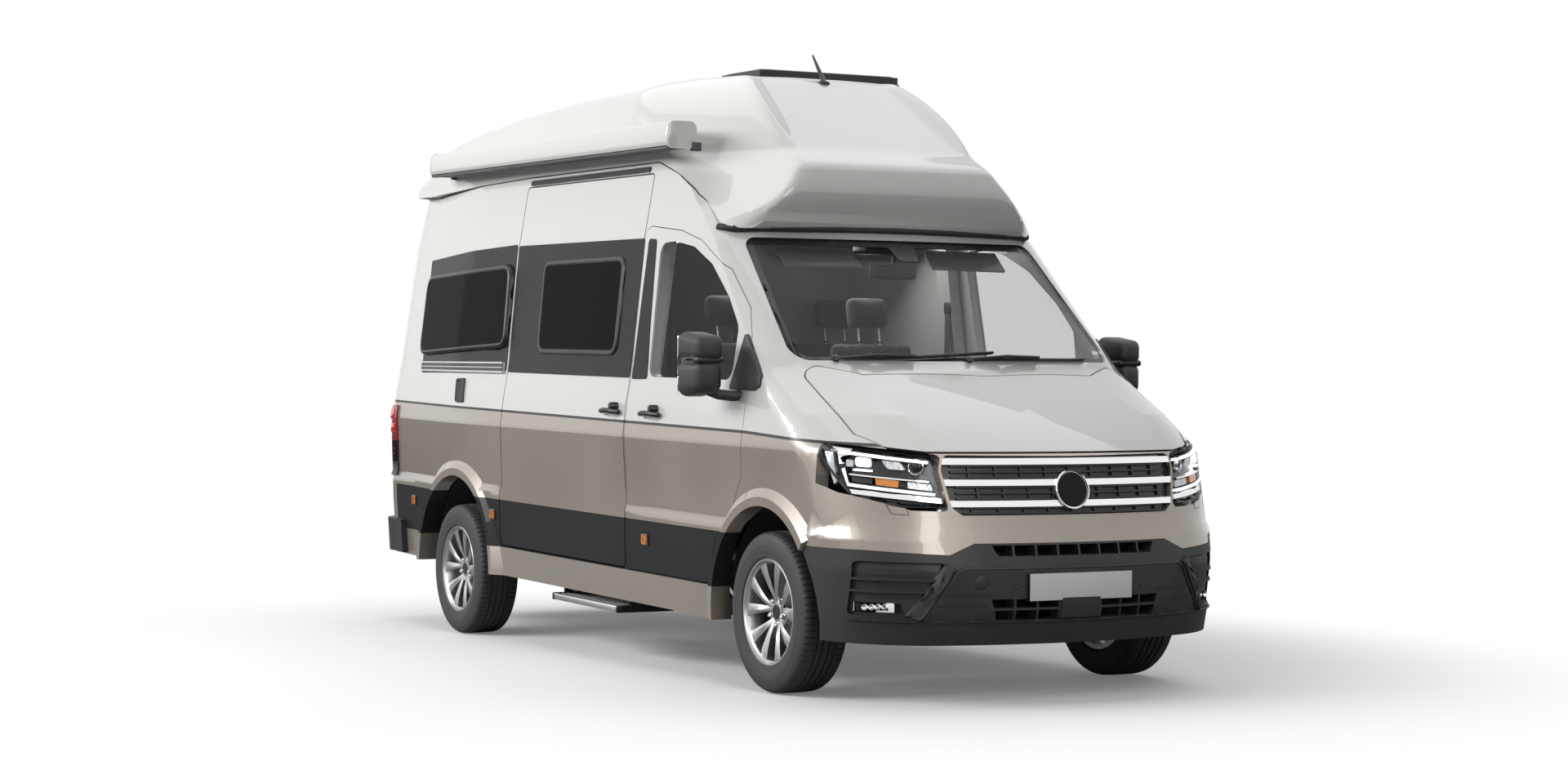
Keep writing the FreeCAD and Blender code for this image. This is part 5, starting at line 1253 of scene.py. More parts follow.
# %% Awning case
STATIONS, CASE_GAP, CASE_RADIUS = 24, 0.006, 0.040
low, high = level_box("awning_case")
print("awning box", [round(c, 3) for c in (*low, *high)])
# Dark grey for the feet and the lead rail; on the underside of the case it is painted shade.
grey_and_underside_shade = moulded("awning_grey_and_underside_shade", (0.06, 0.06, 0.06), 0.45)
tall = high.z - low.z
section = rounded([(low.y + 0.006, low.z), (low.y - 0.002, low.z + 0.45 * tall), (low.y + 0.012, high.z),
                   (high.y - 0.034, high.z), (high.y - 0.030, low.z)], CASE_RADIUS, pitch=0.3, steps=8)
bm = bmesh.new()
stations = [low.x + CASE_GAP + (high.x - low.x - 2 * CASE_GAP) * k / STATIONS for k in range(STATIONS + 1)]
rings = [[bm.verts.new((x, y, z)) for y, z in section] for x in stations]
for near, far in zip(rings, rings[1:]):
    for i in range(len(near)):
        k = (i + 1) % len(near)
        face = bm.faces.new((near[i], near[k], far[k], far[i]))
        # Faces along the bottom of the case take the dark grey: painted shade under it.
        face.material_index = 1 if face.calc_center_median().z < low.z + 0.012 else 0
case = finish_mesh("awning_case_skin", bm, [roof_white, grey_and_underside_shade], "van_body", smooth=40)
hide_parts("awning_case")
bm = bmesh.new()
for x, away in ((low.x, -1), (high.x, 1)):

    def end_face(y, z, lift, x=x, away=away):
        return Vector((x + away * (lift - 0.010), y, z))

    add_stepped(bm, inset(section, -0.002), end_face,
                [(0.0005, 0.010, 1), (0.003, 0.015, 1), (0.008, 0.018, 1)])
    add_block(bm, (x - 0.015, high.y - 0.060, low.z - 0.012), (x + 0.012, high.y - 0.010, low.z + 0.03),
              0.004, 2)
# A thin near-black line under the case is painted shade.
add_block(bm, (low.x + 0.02, low.y + 0.052, low.z - 0.003), (high.x - 0.02, low.y + 0.064, low.z + 0.004),
          0.001, 1, material=2)
# The lead rail is dark grey, partly its own colour and partly painted shade under the case.
add_block(bm, (low.x + 0.01, low.y + 0.006, low.z - 0.005), (high.x - 0.01, low.y + 0.040, low.z + 0.006),
          0.003, 2)
finish_mesh("awning_fittings", bm, [grey_and_underside_shade, roof_white, painted_recess_shade], "van_body")

# %% [markdown]
# The roof hatch is a smoked lid on a dark frame. The lid has a raised rim, a flat middle with four ribs, and
# two hinges. The aerial stands on a rubber foot.

# %% Hatch and aerial foot
low, high = level_box("roof_hatch_lid")


def roof_place(x, y, lift):
    """A plane on top of the hatch lid."""
    return Vector((x, y, high.z + lift))


smoked_lid = moulded("smoked_lid", (0.055, 0.056, 0.058), 0.22, depth=0.02)
bm = bmesh.new()
lid = rectangle(low.x + 0.004, low.y + 0.004, high.x - 0.004, high.y - 0.004)
add_stepped(bm, rounded(lid, 0.05, pitch=0.08), roof_place,
            [(0.002, 0.002, 0), (0.010, 0.006, 0), (0.026, 0.006, 0), (0.036, 0.0015, 0),
             (0.050, 0.0015, 0)], base=-0.018)
for k in range(4):
    x = low.x + 0.09 + 0.08 * k
    add_block(bm, (x, low.y + 0.09, high.z + 0.0005), (x + 0.010, high.y - 0.09, high.z + 0.0045), 0.002, 1)
finish_mesh("hatch_lid_cover", bm, smoked_lid, BODY_OF["roof_hatch_lid"], smooth=40)
bm = bmesh.new()
for y in (low.y + 0.12, high.y - 0.12):
    add_turned(bm, [(-0.03, 0.0), (-0.03, 0.007), (0.03, 0.007), (0.03, 0.0)],
               (low.x - 0.004, y, low.z + 0.004), (0, 1, 0), 16)
add_block(bm, (low.x - 0.012, low.y - 0.006, low.z - 0.030), (high.x + 0.010, low.y + 0.002, low.z - 0.006),
          0.003, 2)
add_block(bm, (low.x - 0.012, high.y - 0.002, low.z - 0.030),
          (high.x + 0.010, high.y + 0.006, low.z - 0.006), 0.003, 2)
finish_mesh("hatch_hinges", bm, satin_black, "van_body", smooth=40)
bm = bmesh.new()
add_turned(bm, [(-0.006, 0.0), (-0.006, 0.034), (0.002, 0.033), (0.008, 0.024), (0.010, 0.0)],
           (0.680, 0, 2.868), (0, 0, 1), 32)
finish_mesh("aerial_foot", bm, seal_rubber_and_shadow, "van_body", smooth=40)
print("hatch and aerial fittings: 3")

# %% [markdown]
# The roof is one laminated moulding, so its edges are soft bends. The panel of the frame is remeshed to an
# even grid and smoothed. Close to the joint the points go back onto the panel, and the lowest strip is the
# panel itself, so the edge still meets the steel. The flat beside the nose is filled out a little, where the
# shell is rounder.

# %% Soft roof shell
def seam_height(x):
    """Height of the joint between roof and steel at a place along the van."""
    if x <= SEAM_LINE[0][0]:
        return SEAM_LINE[0][1]
    for (x0, z0), (x1, z1) in zip(SEAM_LINE, SEAM_LINE[1:]):
        if x <= x1:
            return z0 + (z1 - z0) * (x - x0) / (x1 - x0)
    return SEAM_LINE[-1][1]


def smoothed(bm, verts, rounds):
    """Several rounds of smoothing over some points."""
    for _ in range(rounds):
        bmesh.ops.smooth_vert(bm, verts=verts, factor=0.5, use_axis_x=True, use_axis_y=True, use_axis_z=True)


# heights above the joint
SHELL_FROM, STRIP_TO, FREE_FROM, BLEND_OVER = 0.050, 0.075, 0.140, 0.065
# the grid, its rounds of smoothing and how far the skin stands off the panel near the joint
GRID_PITCH, ALL_ROUNDS, TOP_ROUNDS, TOP_FROM, OFF_PANEL = 0.016, 13, 4, 2.46, 0.0004
# the flat beside the nose: its height, how far it is filled out and how deep the filling begins
FILL_LOW, FILL_HIGH, FILL_OUT, FILL_IN, FILL_SOFT = 2.50, 2.90, 0.050, 0.040, 0.015
raw = merged_copy("high_roof")
mesh = bpy.data.meshes.new("roof_grid")
raw.to_mesh(mesh)
raw.free()
grid = bpy.data.objects.new("roof_grid", mesh)
bpy.context.scene.collection.objects.link(grid)
skin = grid.modifiers.new("one_skin", "REMESH")
skin.mode, skin.voxel_size = "VOXEL", GRID_PITCH
graph = bpy.context.evaluated_depsgraph_get()
bm = bmesh.new()
bm.from_mesh(grid.evaluated_get(graph).to_mesh())
bpy.data.objects.remove(grid)
roof_tree = tree_of("high_roof")
spots = [Vector((1.475, 0.608, 2.286)), Vector((1.258, 0.507, 2.502)), Vector((1.253, 0.842, 2.125))]
slant = (spots[1] - spots[0]).cross(spots[2] - spots[0]).normalized()
if slant.x < 0:
    slant = -slant
smoothed(bm, bm.verts, ALL_ROUNDS)
for vert in bm.verts:
    sign = -1 if vert.co.y < 0 else 1
    here = Vector((vert.co.x, vert.co.y * sign, vert.co.z))
    depth = (here - spots[0]).dot(slant)
    if -FILL_IN < depth < 0.03 and FILL_LOW < here.z < FILL_HIGH and here.y > 0.25:
        rise = math.sin(math.pi * (here.z - FILL_LOW) / (FILL_HIGH - FILL_LOW)) ** 0.8
        push = slant * FILL_OUT * rise * min(1.0, (depth + FILL_IN) / FILL_SOFT)
        vert.co += Vector((push.x, push.y * sign, push.z))
smoothed(bm, [v for v in bm.verts if v.co.z > TOP_FROM], TOP_ROUNDS)
for vert in bm.verts:
    above = vert.co.z - seam_height(vert.co.x)
    if above < FREE_FROM:
        near, normal = roof_tree.find_nearest(vert.co)[:2]
        if (vert.co - near).dot(normal) < -0.010:
            normal = -normal
        vert.co = vert.co.lerp(near + normal * OFF_PANEL, min(1.0, (FREE_FROM - above) / BLEND_OVER))
low_verts = [v for v in bm.verts if v.co.z - seam_height(v.co.x) < SHELL_FROM]
bmesh.ops.delete(bm, geom=low_verts, context="VERTS")
finish_mesh("roof_shell", bm, roof_white, "van_body", smooth=50)
bm = merged_copy("high_roof")
ends = [(-3.2, SEAM_LINE[0][1])] + SEAM_LINE + [(1.8, SEAM_LINE[-1][1])]
for (x0, z0), (x1, z1) in zip(ends, ends[1:]):
    bmesh.ops.bisect_plane(bm, geom=bm.verts[:] + bm.edges[:] + bm.faces[:], plane_co=(x1, 0, 0),
                           plane_no=(1, 0, 0))
    slab = [f for f in bm.faces if x0 < f.calc_center_median().x < x1]
    parts = slab + list({e for f in slab for e in f.edges}) + list({v for f in slab for v in f.verts})
    bmesh.ops.bisect_plane(bm, geom=parts, plane_co=(x0, 0, z0 + STRIP_TO), plane_no=(z0 - z1, 0, x1 - x0))
upper = [f for f in bm.faces if f.calc_center_median().z > seam_height(f.calc_center_median().x) + STRIP_TO]
bmesh.ops.delete(bm, geom=upper, context="FACES")
strip = finish_mesh("roof_lower_strip", bm, roof_white, "van_body", smooth=50)
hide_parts("high_roof")

# %% [markdown]
# ## The rear and the left side
# At the back two wing doors carry framed windows, a pull handle, a bare plate and outer hinges. Upright
# lamps stand in the corners: red above, dark below. The left side has the same dark band, a window, and
# small service doors for water, power and fuel.

# %% Rear lamps
red_lens = new_material("red_lens", (0.30, 0.010, 0.012), 0.16, coat=1.0)
bump_with(red_lens, add_noise(red_lens, 420.0, 0.0, (1, 0.1, 1)).outputs["Fac"], 0.4, 0.0006)
smoke_lens = moulded("smoked_lens", (0.020, 0.012, 0.012), 0.12, depth=0.03)
dress("tail_lamps", [red_lens, smoke_lens, satin_black], BODY_OF["tail_lamps"],
      lambda place: 0 if place.z > 0.985 else 1 if place.z > 0.86 else 2,
      [((0, 0, 0.985), (0, 0, 1)), ((0, 0, 0.86), (0, 0, 1))])
lamp_tree = tree_of("tail_lamps")
bright_red = new_material("bright_red_lens", (0.62, 0.035, 0.030), 0.2, coat=1.0)
bump_with(bright_red, add_noise(bright_red, 300.0, 0.0, (1, 1, 0.2)).outputs["Fac"], 0.5, 0.0008)
for name, sign in (("right", -1), ("left", 1)):
    bm = bmesh.new()

    def on_lamp(x, z, lift):
        found = seat(lamp_tree, (x, sign * 3, z), (0, -sign, 0)) or Vector((x, sign * 0.93, z))
        return found + Vector((0, sign * lift, 0))
    for z0, z1 in ((1.110, 1.170), (1.030, 1.085)):
        add_stepped(bm, rounded(rectangle(-2.800, z0, -2.725, z1), 0.008, pitch=0.03), on_lamp,
                    [(0.001, 0.003, 0), (0.004, 0.004, 0)], base=-0.003)
    for z in (1.000, 0.935, 0.905):
        add_stepped(bm, rounded(rectangle(-2.800, z - 0.004, -2.725, z + 0.004), pitch=0.03), on_lamp,
                    [(0.0005, 0.002, 1)], base=-0.003)
    finish_mesh("lamp_blocks_" + name, bm, [bright_red, satin_black], "van_body", smooth=30)

# %% Rear doors
back_tree = tree_of("rear_door_right", "rear_door_left", "rear_door_glass_right", "rear_door_glass_left",
                    "rear_bumper", "side_wall_right", "side_wall_left", "high_roof")


def rear_face(y, z, lift):
    """The body seen from behind."""
    found = seat(back_tree, (-3.6, y, z), (1, 0, 0)) or back_tree.find_nearest(Vector((-2.9, y, z)))[0]
    return found - Vector((lift, 0, 0))


for name, sign in (("right", -1), ("left", 1)):
    body = BODY_OF["rear_door_" + name]
    bm = bmesh.new()
    pane = [(sign * y, z) for y, z in ((0.095, 1.485), (0.705, 1.485), (0.665, 1.995), (0.095, 1.995))]
    add_stepped(bm, rounded(pane, 0.07, pitch=0.06), rear_face,
                [(0.003, 0.004, 0), (0.010, 0.0055, 0), (0.030, 0.0055, 0), (0.033, 0.003, 1)], base=-0.004)
    finish_mesh("rear_window_" + name, bm, [satin_black, band_glass], body, smooth=30)
    bm = bmesh.new()
    for z in (0.78, 1.32, 2.10):
        edge = 0.800 if z < 1.4 else 0.735
        spot = rear_face(sign * (edge - 0.020), z, 0.008)
        add_tube(bm, [spot - Vector((0, 0, 0.045)), spot + Vector((0, 0, 0.045))], 0.011, 12, 0)
        add_stepped(bm, rounded([(sign * (edge - 0.105), z - 0.022), (sign * (edge - 0.105), z + 0.022),
                                 (sign * (edge - 0.028), z + 0.030), (sign * (edge - 0.028), z - 0.030)],
                                0.008, pitch=0.04), rear_face, [(0.002, 0.006, 0), (0.004, 0.007, 0)],
                    base=-0.003)
    finish_mesh("rear_hinges_" + name, bm, satin_black, body)
body = BODY_OF["rear_door_right"]
bm = bmesh.new()
add_stepped(bm, rounded(rectangle(-0.215, 1.150, -0.030, 1.250), 0.02, pitch=0.04), rear_face,
            [(0.002, 0.004, 0), (0.008, 0.005, 0), (0.014, -0.002, 0)], base=-0.004)
add_tube(bm, [rear_face(-0.200, 1.200, 0.012), rear_face(-0.180, 1.200, 0.030),
              rear_face(-0.065, 1.200, 0.030), rear_face(-0.045, 1.200, 0.012)], 0.010, 12, 0)
add_turned(bm, [(-0.004, 0.0), (-0.004, 0.014), (0.004, 0.013), (0.005, 0.0)],
           rear_face(-0.120, 1.118, 0.0), (-1, 0, 0), 24, material=1)
finish_mesh("rear_handle", bm, [satin_black, chrome], body)
bm = bmesh.new()
add_stepped(bm, rounded(rectangle(-0.585, 0.850, -0.055, 0.985), 0.012, pitch=0.06), rear_face,
            [(0.002, 0.003, 1), (0.006, 0.004, 1)], base=-0.003)
add_stepped(bm, rounded(rectangle(-0.578, 0.858, -0.062, 0.962), 0.006, pitch=0.06), rear_face,
            [(0.001, 0.0065, 0), (0.003, 0.007, 0)], base=0.002)
finish_mesh("rear_plate", bm, [plate_grey, satin_black], body)
bm = bmesh.new()
add_stepped(bm, rounded(rectangle(-0.24, 2.372, 0.24, 2.398), 0.008, pitch=0.05), rear_face,
            [(0.002, 0.010, 0), (0.005, 0.013, 0)], base=-0.003)
finish_mesh("high_brake_lamp", bm, bright_red, "van_body", smooth=30)
bm = bmesh.new()
for k in range(9):
    x = -2.955 + 0.030 * k
    add_block(bm, (x, -0.60, 0.5275), (x + 0.012, 0.60, 0.5325), 0.0015, 1)
for sign in (-1, 1):
    add_stepped(bm, rounded(rectangle(sign * 0.62, 0.425, sign * 0.80, 0.465), 0.008, pitch=0.04),
                rear_face, [(0.001, 0.004, 1), (0.003, 0.005, 1)], base=-0.004)
for y in (-0.52, -0.18, 0.18, 0.52):
    add_stepped(bm, circle(y, 0.455, 0.0125, 24), rear_face, [(0.0005, 0.0022, 0), (0.0025, 0.0012, 0)],
                base=-0.003)
finish_mesh("rear_bumper_trim", bm, [black_plastic, bright_red], "van_body", smooth=32)
print("rear fittings are on")

# %% Left side
glass_band("band_left_rear", QUARTER_BAND, left_side, "van_body")
glass_band("band_left_middle", [(-1.012, 2.092), (0.506, 2.083), (0.530, 1.407), (-0.958, 1.410)],
           left_side, "van_body")
service_white = paint("service_door_white", (0.62, 0.62, 0.60))
bm = bmesh.new()
for x0, x1, z0, z1, round_to in ((-2.26, -1.98, 1.240, 1.345, 0.02), (-0.80, -0.45, 0.84, 1.13, 0.03),
                                 (-0.26, -0.10, 0.90, 1.04, 0.025), (0.12, 0.26, 1.27, 1.38, 0.02)):
    # The ring just inside each door is painted shade in its shut line.
    add_stepped(bm, rounded(rectangle(x0, z0, x1, z1), round_to, pitch=0.05), left_side,
                [(0.002, 0.004, 0), (0.008, 0.006, 0), (0.010, 0.003, 1), (0.012, 0.003, 1),
                 (0.013, 0.006, 0)], base=-0.003)
    add_turned(bm, [(-0.002, 0.0), (-0.002, 0.013), (0.003, 0.012), (0.004, 0.0)],
               left_side((x0 + x1) / 2, z0 + 0.035, 0.006), (0, 1, 0), 20, material=2)
finish_mesh("service_doors", bm, [service_white, painted_recess_shade, satin_black], "van_body", smooth=32)
bm = bmesh.new()
flap = rectangle(0.645, 0.905, 0.735, 1.055)
# The ring round the flap is painted shade in its shut line.
add_stepped(bm, rounded(flap, 0.02, pitch=0.04), left_side,
            [(0.0004, 0.0008, 1), (0.0026, 0.0008, 1), (0.003, 0.002, 0)], base=-0.002)
finish_mesh("fuel_flap", bm, [taupe_paint, painted_recess_shade], BODY_OF["cab_door_left"], smooth=32)
bm = bmesh.new()
VENT_LOW, VENT_HIGH, VENT_EDGE = 1.72, 1.93, 0.022
add_stepped(bm, rounded(rectangle(0.02, VENT_LOW, 0.38, VENT_HIGH), 0.012, pitch=0.05), left_side,
            [(0.002, 0.008, 0), (0.006, 0.010, 0)], base=-0.003)
for k in range(9):
    z = VENT_LOW + VENT_EDGE + (VENT_HIGH - VENT_LOW - 2 * VENT_EDGE) * k / 8
    add_stepped(bm, rounded(ribbon([(0.045, z), (0.355, z)], 0.009), pitch=0.06), left_side,
                [(0.001, 0.014, 0)], base=0.006)
finish_mesh("air_vents", bm, black_plastic, "van_body", smooth=32)
print("left side fittings are on")

# %% [markdown]
# ## Seats, bench and bed
# A seat pad is foam inside a sewn cover, so it is crowned in the middle and pulled in along its seams. Each
# pad starts as a few overlapping rounded blocks. A voxel remesh makes one skin of them, a short cloth
# simulation with a little air pressure rounds that skin, and the seams are pressed in afterwards, because
# the remesh would have closed them.

# %% Stuffed pads
def woven(name, colour, scale, contrast=0.35):
    """Upholstery cloth: two fine crossed waves as threads, a soft nap and a slow change of tone."""
    material = new_material(name, colour, 0.85)
    tune(material, {"Sheen Weight": 0.35, "Sheen Roughness": 0.5})
    tree = material.node_tree
    place = tree.nodes.new("ShaderNodeTexCoord")
    waves = []
    for direction in ("X", "Z"):
        wave = tree.nodes.new("ShaderNodeTexWave")
        wave.bands_direction = direction
        wave.inputs["Scale"].default_value = scale
        tree.links.new(place.outputs["Object"], wave.inputs["Vector"])
        waves.append(wave)
    both = tree.nodes.new("ShaderNodeMath")
    both.operation = "MULTIPLY"
    wire(tree, (waves[0], "Fac", both, 0), (waves[1], "Fac", both, 1))
    bump_with(material, both.outputs["Value"], 0.35, 0.0006)
    tone = add_noise(material, 90.0, 4.0)
    vary(material, tone.outputs["Fac"], "Base Color", tuple(c * (1 - contrast) for c in colour),
         tuple(c * (1 + contrast) for c in colour))
    return material


seat_cloth = woven("seat_cloth_charcoal", (0.050, 0.050, 0.053), 160.0)
bed_cloth = woven("mattress_cloth", (0.47, 0.45, 0.41), 90.0, 0.10)
# how far the air may move a point of a pad, and its pressure
PAD_CAP, AIR_PRESSURE = 0.010, 4


def stuff(name, bm, material, body, seams=(), voxel=0.011, turn=None, frames=20):
    """One padded piece. A seam holds its point, its normal, its width, its depth and the way out."""
    mesh = bpy.data.meshes.new(name)
    bm.to_mesh(mesh)
    bm.free()
    piece = bpy.data.objects.new(name, mesh)
    bpy.context.scene.collection.objects.link(piece)
    skin = piece.modifiers.new("one_skin", "REMESH")
    skin.mode = "VOXEL"
    skin.voxel_size = voxel
    graph = bpy.context.evaluated_depsgraph_get()
    plain = bpy.data.meshes.new_from_object(piece.evaluated_get(graph))
    piece.modifiers.clear()
    piece.data = plain
    start = [v.co.copy() for v in plain.vertices]
    cloth = piece.modifiers.new("air", "CLOTH")
    cloth.settings.quality = 4
    cloth.settings.use_pressure = True
    cloth.settings.uniform_pressure_force = AIR_PRESSURE
    cloth.settings.effector_weights.gravity = 0
    for frame_number in range(1, frames + 1):
        bpy.context.scene.frame_set(frame_number)
    graph = bpy.context.evaluated_depsgraph_get()
    moved = bpy.data.meshes.new_from_object(piece.evaluated_get(graph))
    piece.modifiers.clear()
    piece.data = moved
    bpy.context.scene.frame_set(1)
    for vert, origin in zip(moved.vertices, start):
        shift = vert.co - origin
        if shift.length > PAD_CAP:
            shift *= PAD_CAP / shift.length
        vert.co = origin + shift
    normals = [Vector(n.vector) for n in piece.data.vertex_normals]
    for vert, normal in zip(piece.data.vertices, normals):
        for point, across, width, depth, outward in seams:
            away = abs((vert.co - Vector(point)).dot(Vector(across)))
            facing = normal.dot(Vector(outward))
            if away < width and facing > 0.2:
                vert.co -= normal * depth * (1 - away / width) ** 2
    soft = bmesh.new()
    soft.from_mesh(piece.data)
    bmesh.ops.smooth_vert(soft, verts=soft.verts, factor=0.4, use_axis_x=True, use_axis_y=True,
                          use_axis_z=True)
    if turn is not None:
        bmesh.ops.transform(soft, matrix=turn, verts=soft.verts)
    bmesh.ops.transform(soft, matrix=RAKE, verts=soft.verts)
    soft.to_mesh(piece.data)
    soft.free()
    piece.data.materials.append(material)
    piece.data.shade_smooth()
    finer = piece.modifiers.new("finer", "SUBSURF")
    finer.levels = finer.render_levels = 1
    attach(piece, body)
    return piece


# front seats' rear edge, depth and thickness of a cushion, its underside, and the floor
SEAT_X, SEAT_DEEP, PAD, PAD_LOW, FLOOR_TOP = 0.560, 0.480, 0.110, 0.930, 0.600
BACK_TALL, BACK_LEAN, REST_GAP = 0.640, math.radians(12), 0.060


def make_seat(name, x, middle_y, width, rests, bolster):
    """Cushion, back and head restraints of one seat or bench. Gives back the number of pads."""
    half = width / 2
    bm = bmesh.new()
    add_block(bm, (x + 0.022, middle_y - half + 0.012, PAD_LOW + 0.012),
              (x + SEAT_DEEP - 0.010, middle_y + half - 0.012, PAD_LOW + PAD - 0.014), 0.030, 4)
    for side in (-1, 1):
        if bolster:
            y = middle_y + side * (half - 0.050)
            add_block(bm, (x + 0.03, y - 0.036, PAD_LOW + 0.020),
                      (x + SEAT_DEEP - 0.03, y + 0.036, PAD_LOW + PAD + 0.004), 0.028, 4)
    seams = [((x + SEAT_DEEP * 0.62, 0, 0), (1, 0, 0), 0.014, 0.007, (0, 0, 1)),
             ((x + SEAT_DEEP * 0.30, 0, 0), (1, 0, 0), 0.014, 0.007, (0, 0, 1))]
    lines = [-half + 0.105, half - 0.105] if bolster else [-half * 0.5, 0, half * 0.5]
    seams += [((0, middle_y + y, 0), (0, 1, 0), 0.014, 0.008, (0, 0, 1)) for y in lines]
    stuff(name + "_cushion", bm, seat_cloth, "van_body", seams)
    turn = Matrix.Translation((x + PAD, middle_y, PAD_LOW + PAD / 2)) @ Matrix.Rotation(-BACK_LEAN, 4, "Y")
    bm = bmesh.new()
    add_block(bm, (-PAD + 0.014, -half + 0.016, 0.055), (-0.018, half - 0.016, BACK_TALL - 0.012), 0.030, 4)
    for side in (-1, 1):
        if bolster:
            add_block(bm, (-PAD + 0.02, side * (half - 0.050) - 0.036, 0.09),
                      (-0.002, side * (half - 0.050) + 0.036, BACK_TALL - 0.10), 0.028, 4)
    seams = [((0, 0, z), (0, 0, 1), 0.014, 0.007, (1, 0, 0)) for z in (0.20, 0.36, 0.50)]
    seams += [((0, y, 0), (0, 1, 0), 0.014, 0.008, (1, 0, 0)) for y in lines]
    stuff(name + "_back", bm, seat_cloth, "van_body", seams, turn=turn)
    bm = bmesh.new()
    for off in rests:
        rest = bmesh.new()
        add_block(rest, (-0.102, off - 0.112, BACK_TALL + REST_GAP + 0.006),
                  (-0.028, off + 0.112, BACK_TALL + REST_GAP + 0.160), 0.032, 4)
        stuff(name + "_rest_%d" % (rests.index(off) + 1), rest, seat_cloth, "van_body",
              [((0, 0, BACK_TALL + REST_GAP + 0.045), (0, 0, 1), 0.012, 0.005, (1, 0, 0))], voxel=0.009,
              turn=turn)
        for y in (off - 0.060, off + 0.060):
            add_tube(bm, [Vector((-0.065, y, BACK_TALL - 0.03)),
                          Vector((-0.065, y, BACK_TALL + REST_GAP + 0.03))], 0.0058, 12, 0)
            add_turned(bm, [(0, 0.0), (0, 0.013), (0.006, 0.012), (0.009, 0.006)],
                       (-0.065, y, BACK_TALL - 0.012), (0, 0, 1), 16, material=1)
    bmesh.ops.transform(bm, matrix=turn, verts=bm.verts)
    finish_mesh(name + "_posts", bm, [chrome, satin_black], "van_body", smooth=40)
    return 2 + len(rests)


pads = 0
for label, y in (("seat_right", -0.400), ("seat_left", 0.400)):
    pads += make_seat(label, SEAT_X, y, 0.500, [0.0], True)
pads += make_seat("bench", -0.230, 0.420, 0.900, [-0.225, 0.225], False)
print("pads of the seats:", pads)

# %% Seat bases
bm = bmesh.new()
for y in (-0.400, 0.400):
    add_block(bm, (0.602, y - 0.205, FLOOR_TOP + 0.002), (0.998, y + 0.205, 0.870), 0.020, 3)
    add_block(bm, (0.580, y - 0.235, 0.868), (1.020, y + 0.235, 0.938), 0.016, 3, material=1)
    add_block(bm, (0.80, y - 0.243, 0.885), (0.93, y - 0.234, 0.912), 0.004, 2, material=1)
    for x in (0.66, 0.94):
        add_block(bm, (x - 0.03, y - 0.22, FLOOR_TOP + 0.001), (x + 0.03, y + 0.22, FLOOR_TOP + 0.016),
                  0.003, 2, material=2)
base = finish_mesh("cab_seat_bases", bm, [black_plastic, satin_black, bare_steel], "van_body")
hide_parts("cab_seats")
furniture_white = moulded("furniture_white", (0.66, 0.65, 0.62), 0.42, grain=60.0, depth=0.04)
oak = new_material("light_oak_board", (0.40, 0.28, 0.17), 0.48)
vary(oak, add_noise(oak, 7.0, 6.0, (0.4, 6, 6)).outputs["Fac"], "Base Color", (0.33, 0.22, 0.13),
     (0.47, 0.34, 0.22))
bump_with(oak, add_noise(oak, 40.0, 4.0, (0.2, 5, 5)).outputs["Fac"], 0.1, 0.0005)
bm = bmesh.new()
add_block(bm, (-0.190, 0.012, FLOOR_TOP + 0.002), (0.208, 0.828, 0.928), 0.008, 2)
add_block(bm, (0.206, 0.06, 0.66), (0.212, 0.78, 0.88), 0.002, 2, material=1)
base = finish_mesh("bench_base", bm, [furniture_white, oak], "van_body")
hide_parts("rear_bench")
print("seat bases are on")

# %% Bed
BED_LOW, BED_HIGH = 1.180, 1.340
bed_min, bed_max = level_box("rear_bed")
print("bed box", [round(c, 3) for c in (*bed_min, *bed_max)])
half_bed = min(bed_max.y, -bed_min.y) - 0.050
for k, (x0, x1) in enumerate(((bed_min.x + 0.045, -2.125), (-2.115, bed_max.x - 0.012))):
    bm = bmesh.new()
    add_block(bm, (x0 + 0.010, -half_bed + 0.012, BED_LOW + 0.035),
              (x1 - 0.010, half_bed - 0.012, BED_HIGH - 0.012), 0.040, 4)
    seams = [((0, 0, (BED_LOW + BED_HIGH) / 2 + dz), (0, 0, 1), 0.012, 0.004, side)
             for dz in (-0.045, 0.040) for side in ((1, 0, 0), (-1, 0, 0), (0, 1, 0), (0, -1, 0))]
    seams += [((0, y, 0), (0, 1, 0), 0.030, 0.006, (0, 0, 1)) for y in (-0.6, -0.3, 0.0, 0.3, 0.6)]
    stuff("mattress_%d" % (k + 1), bm, bed_cloth, "van_body", seams, voxel=0.020, frames=12)
bm = bmesh.new()
add_block(bm, (bed_min.x + 0.02, -half_bed, BED_LOW + 0.002),
          (bed_max.x - 0.004, half_bed, BED_LOW + 0.030), 0.004, 2)
add_block(bm, (bed_max.x - 0.024, -half_bed, BED_LOW), (bed_max.x - 0.001, half_bed, BED_LOW + 0.075),
          0.004, 2, material=1)
base = finish_mesh("bed_board", bm, [oak, furniture_white], "van_body")
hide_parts("rear_bed")
print("bed is made")

# %% [markdown]
# ## The cab
# Through the windscreen one sees the dash with its hood, four round vents and a bare screen, the steering
# wheel, the door trims, two sun visors, the inner mirror and the belts. The dash is a soft moulding over the
# plain block of the frame.

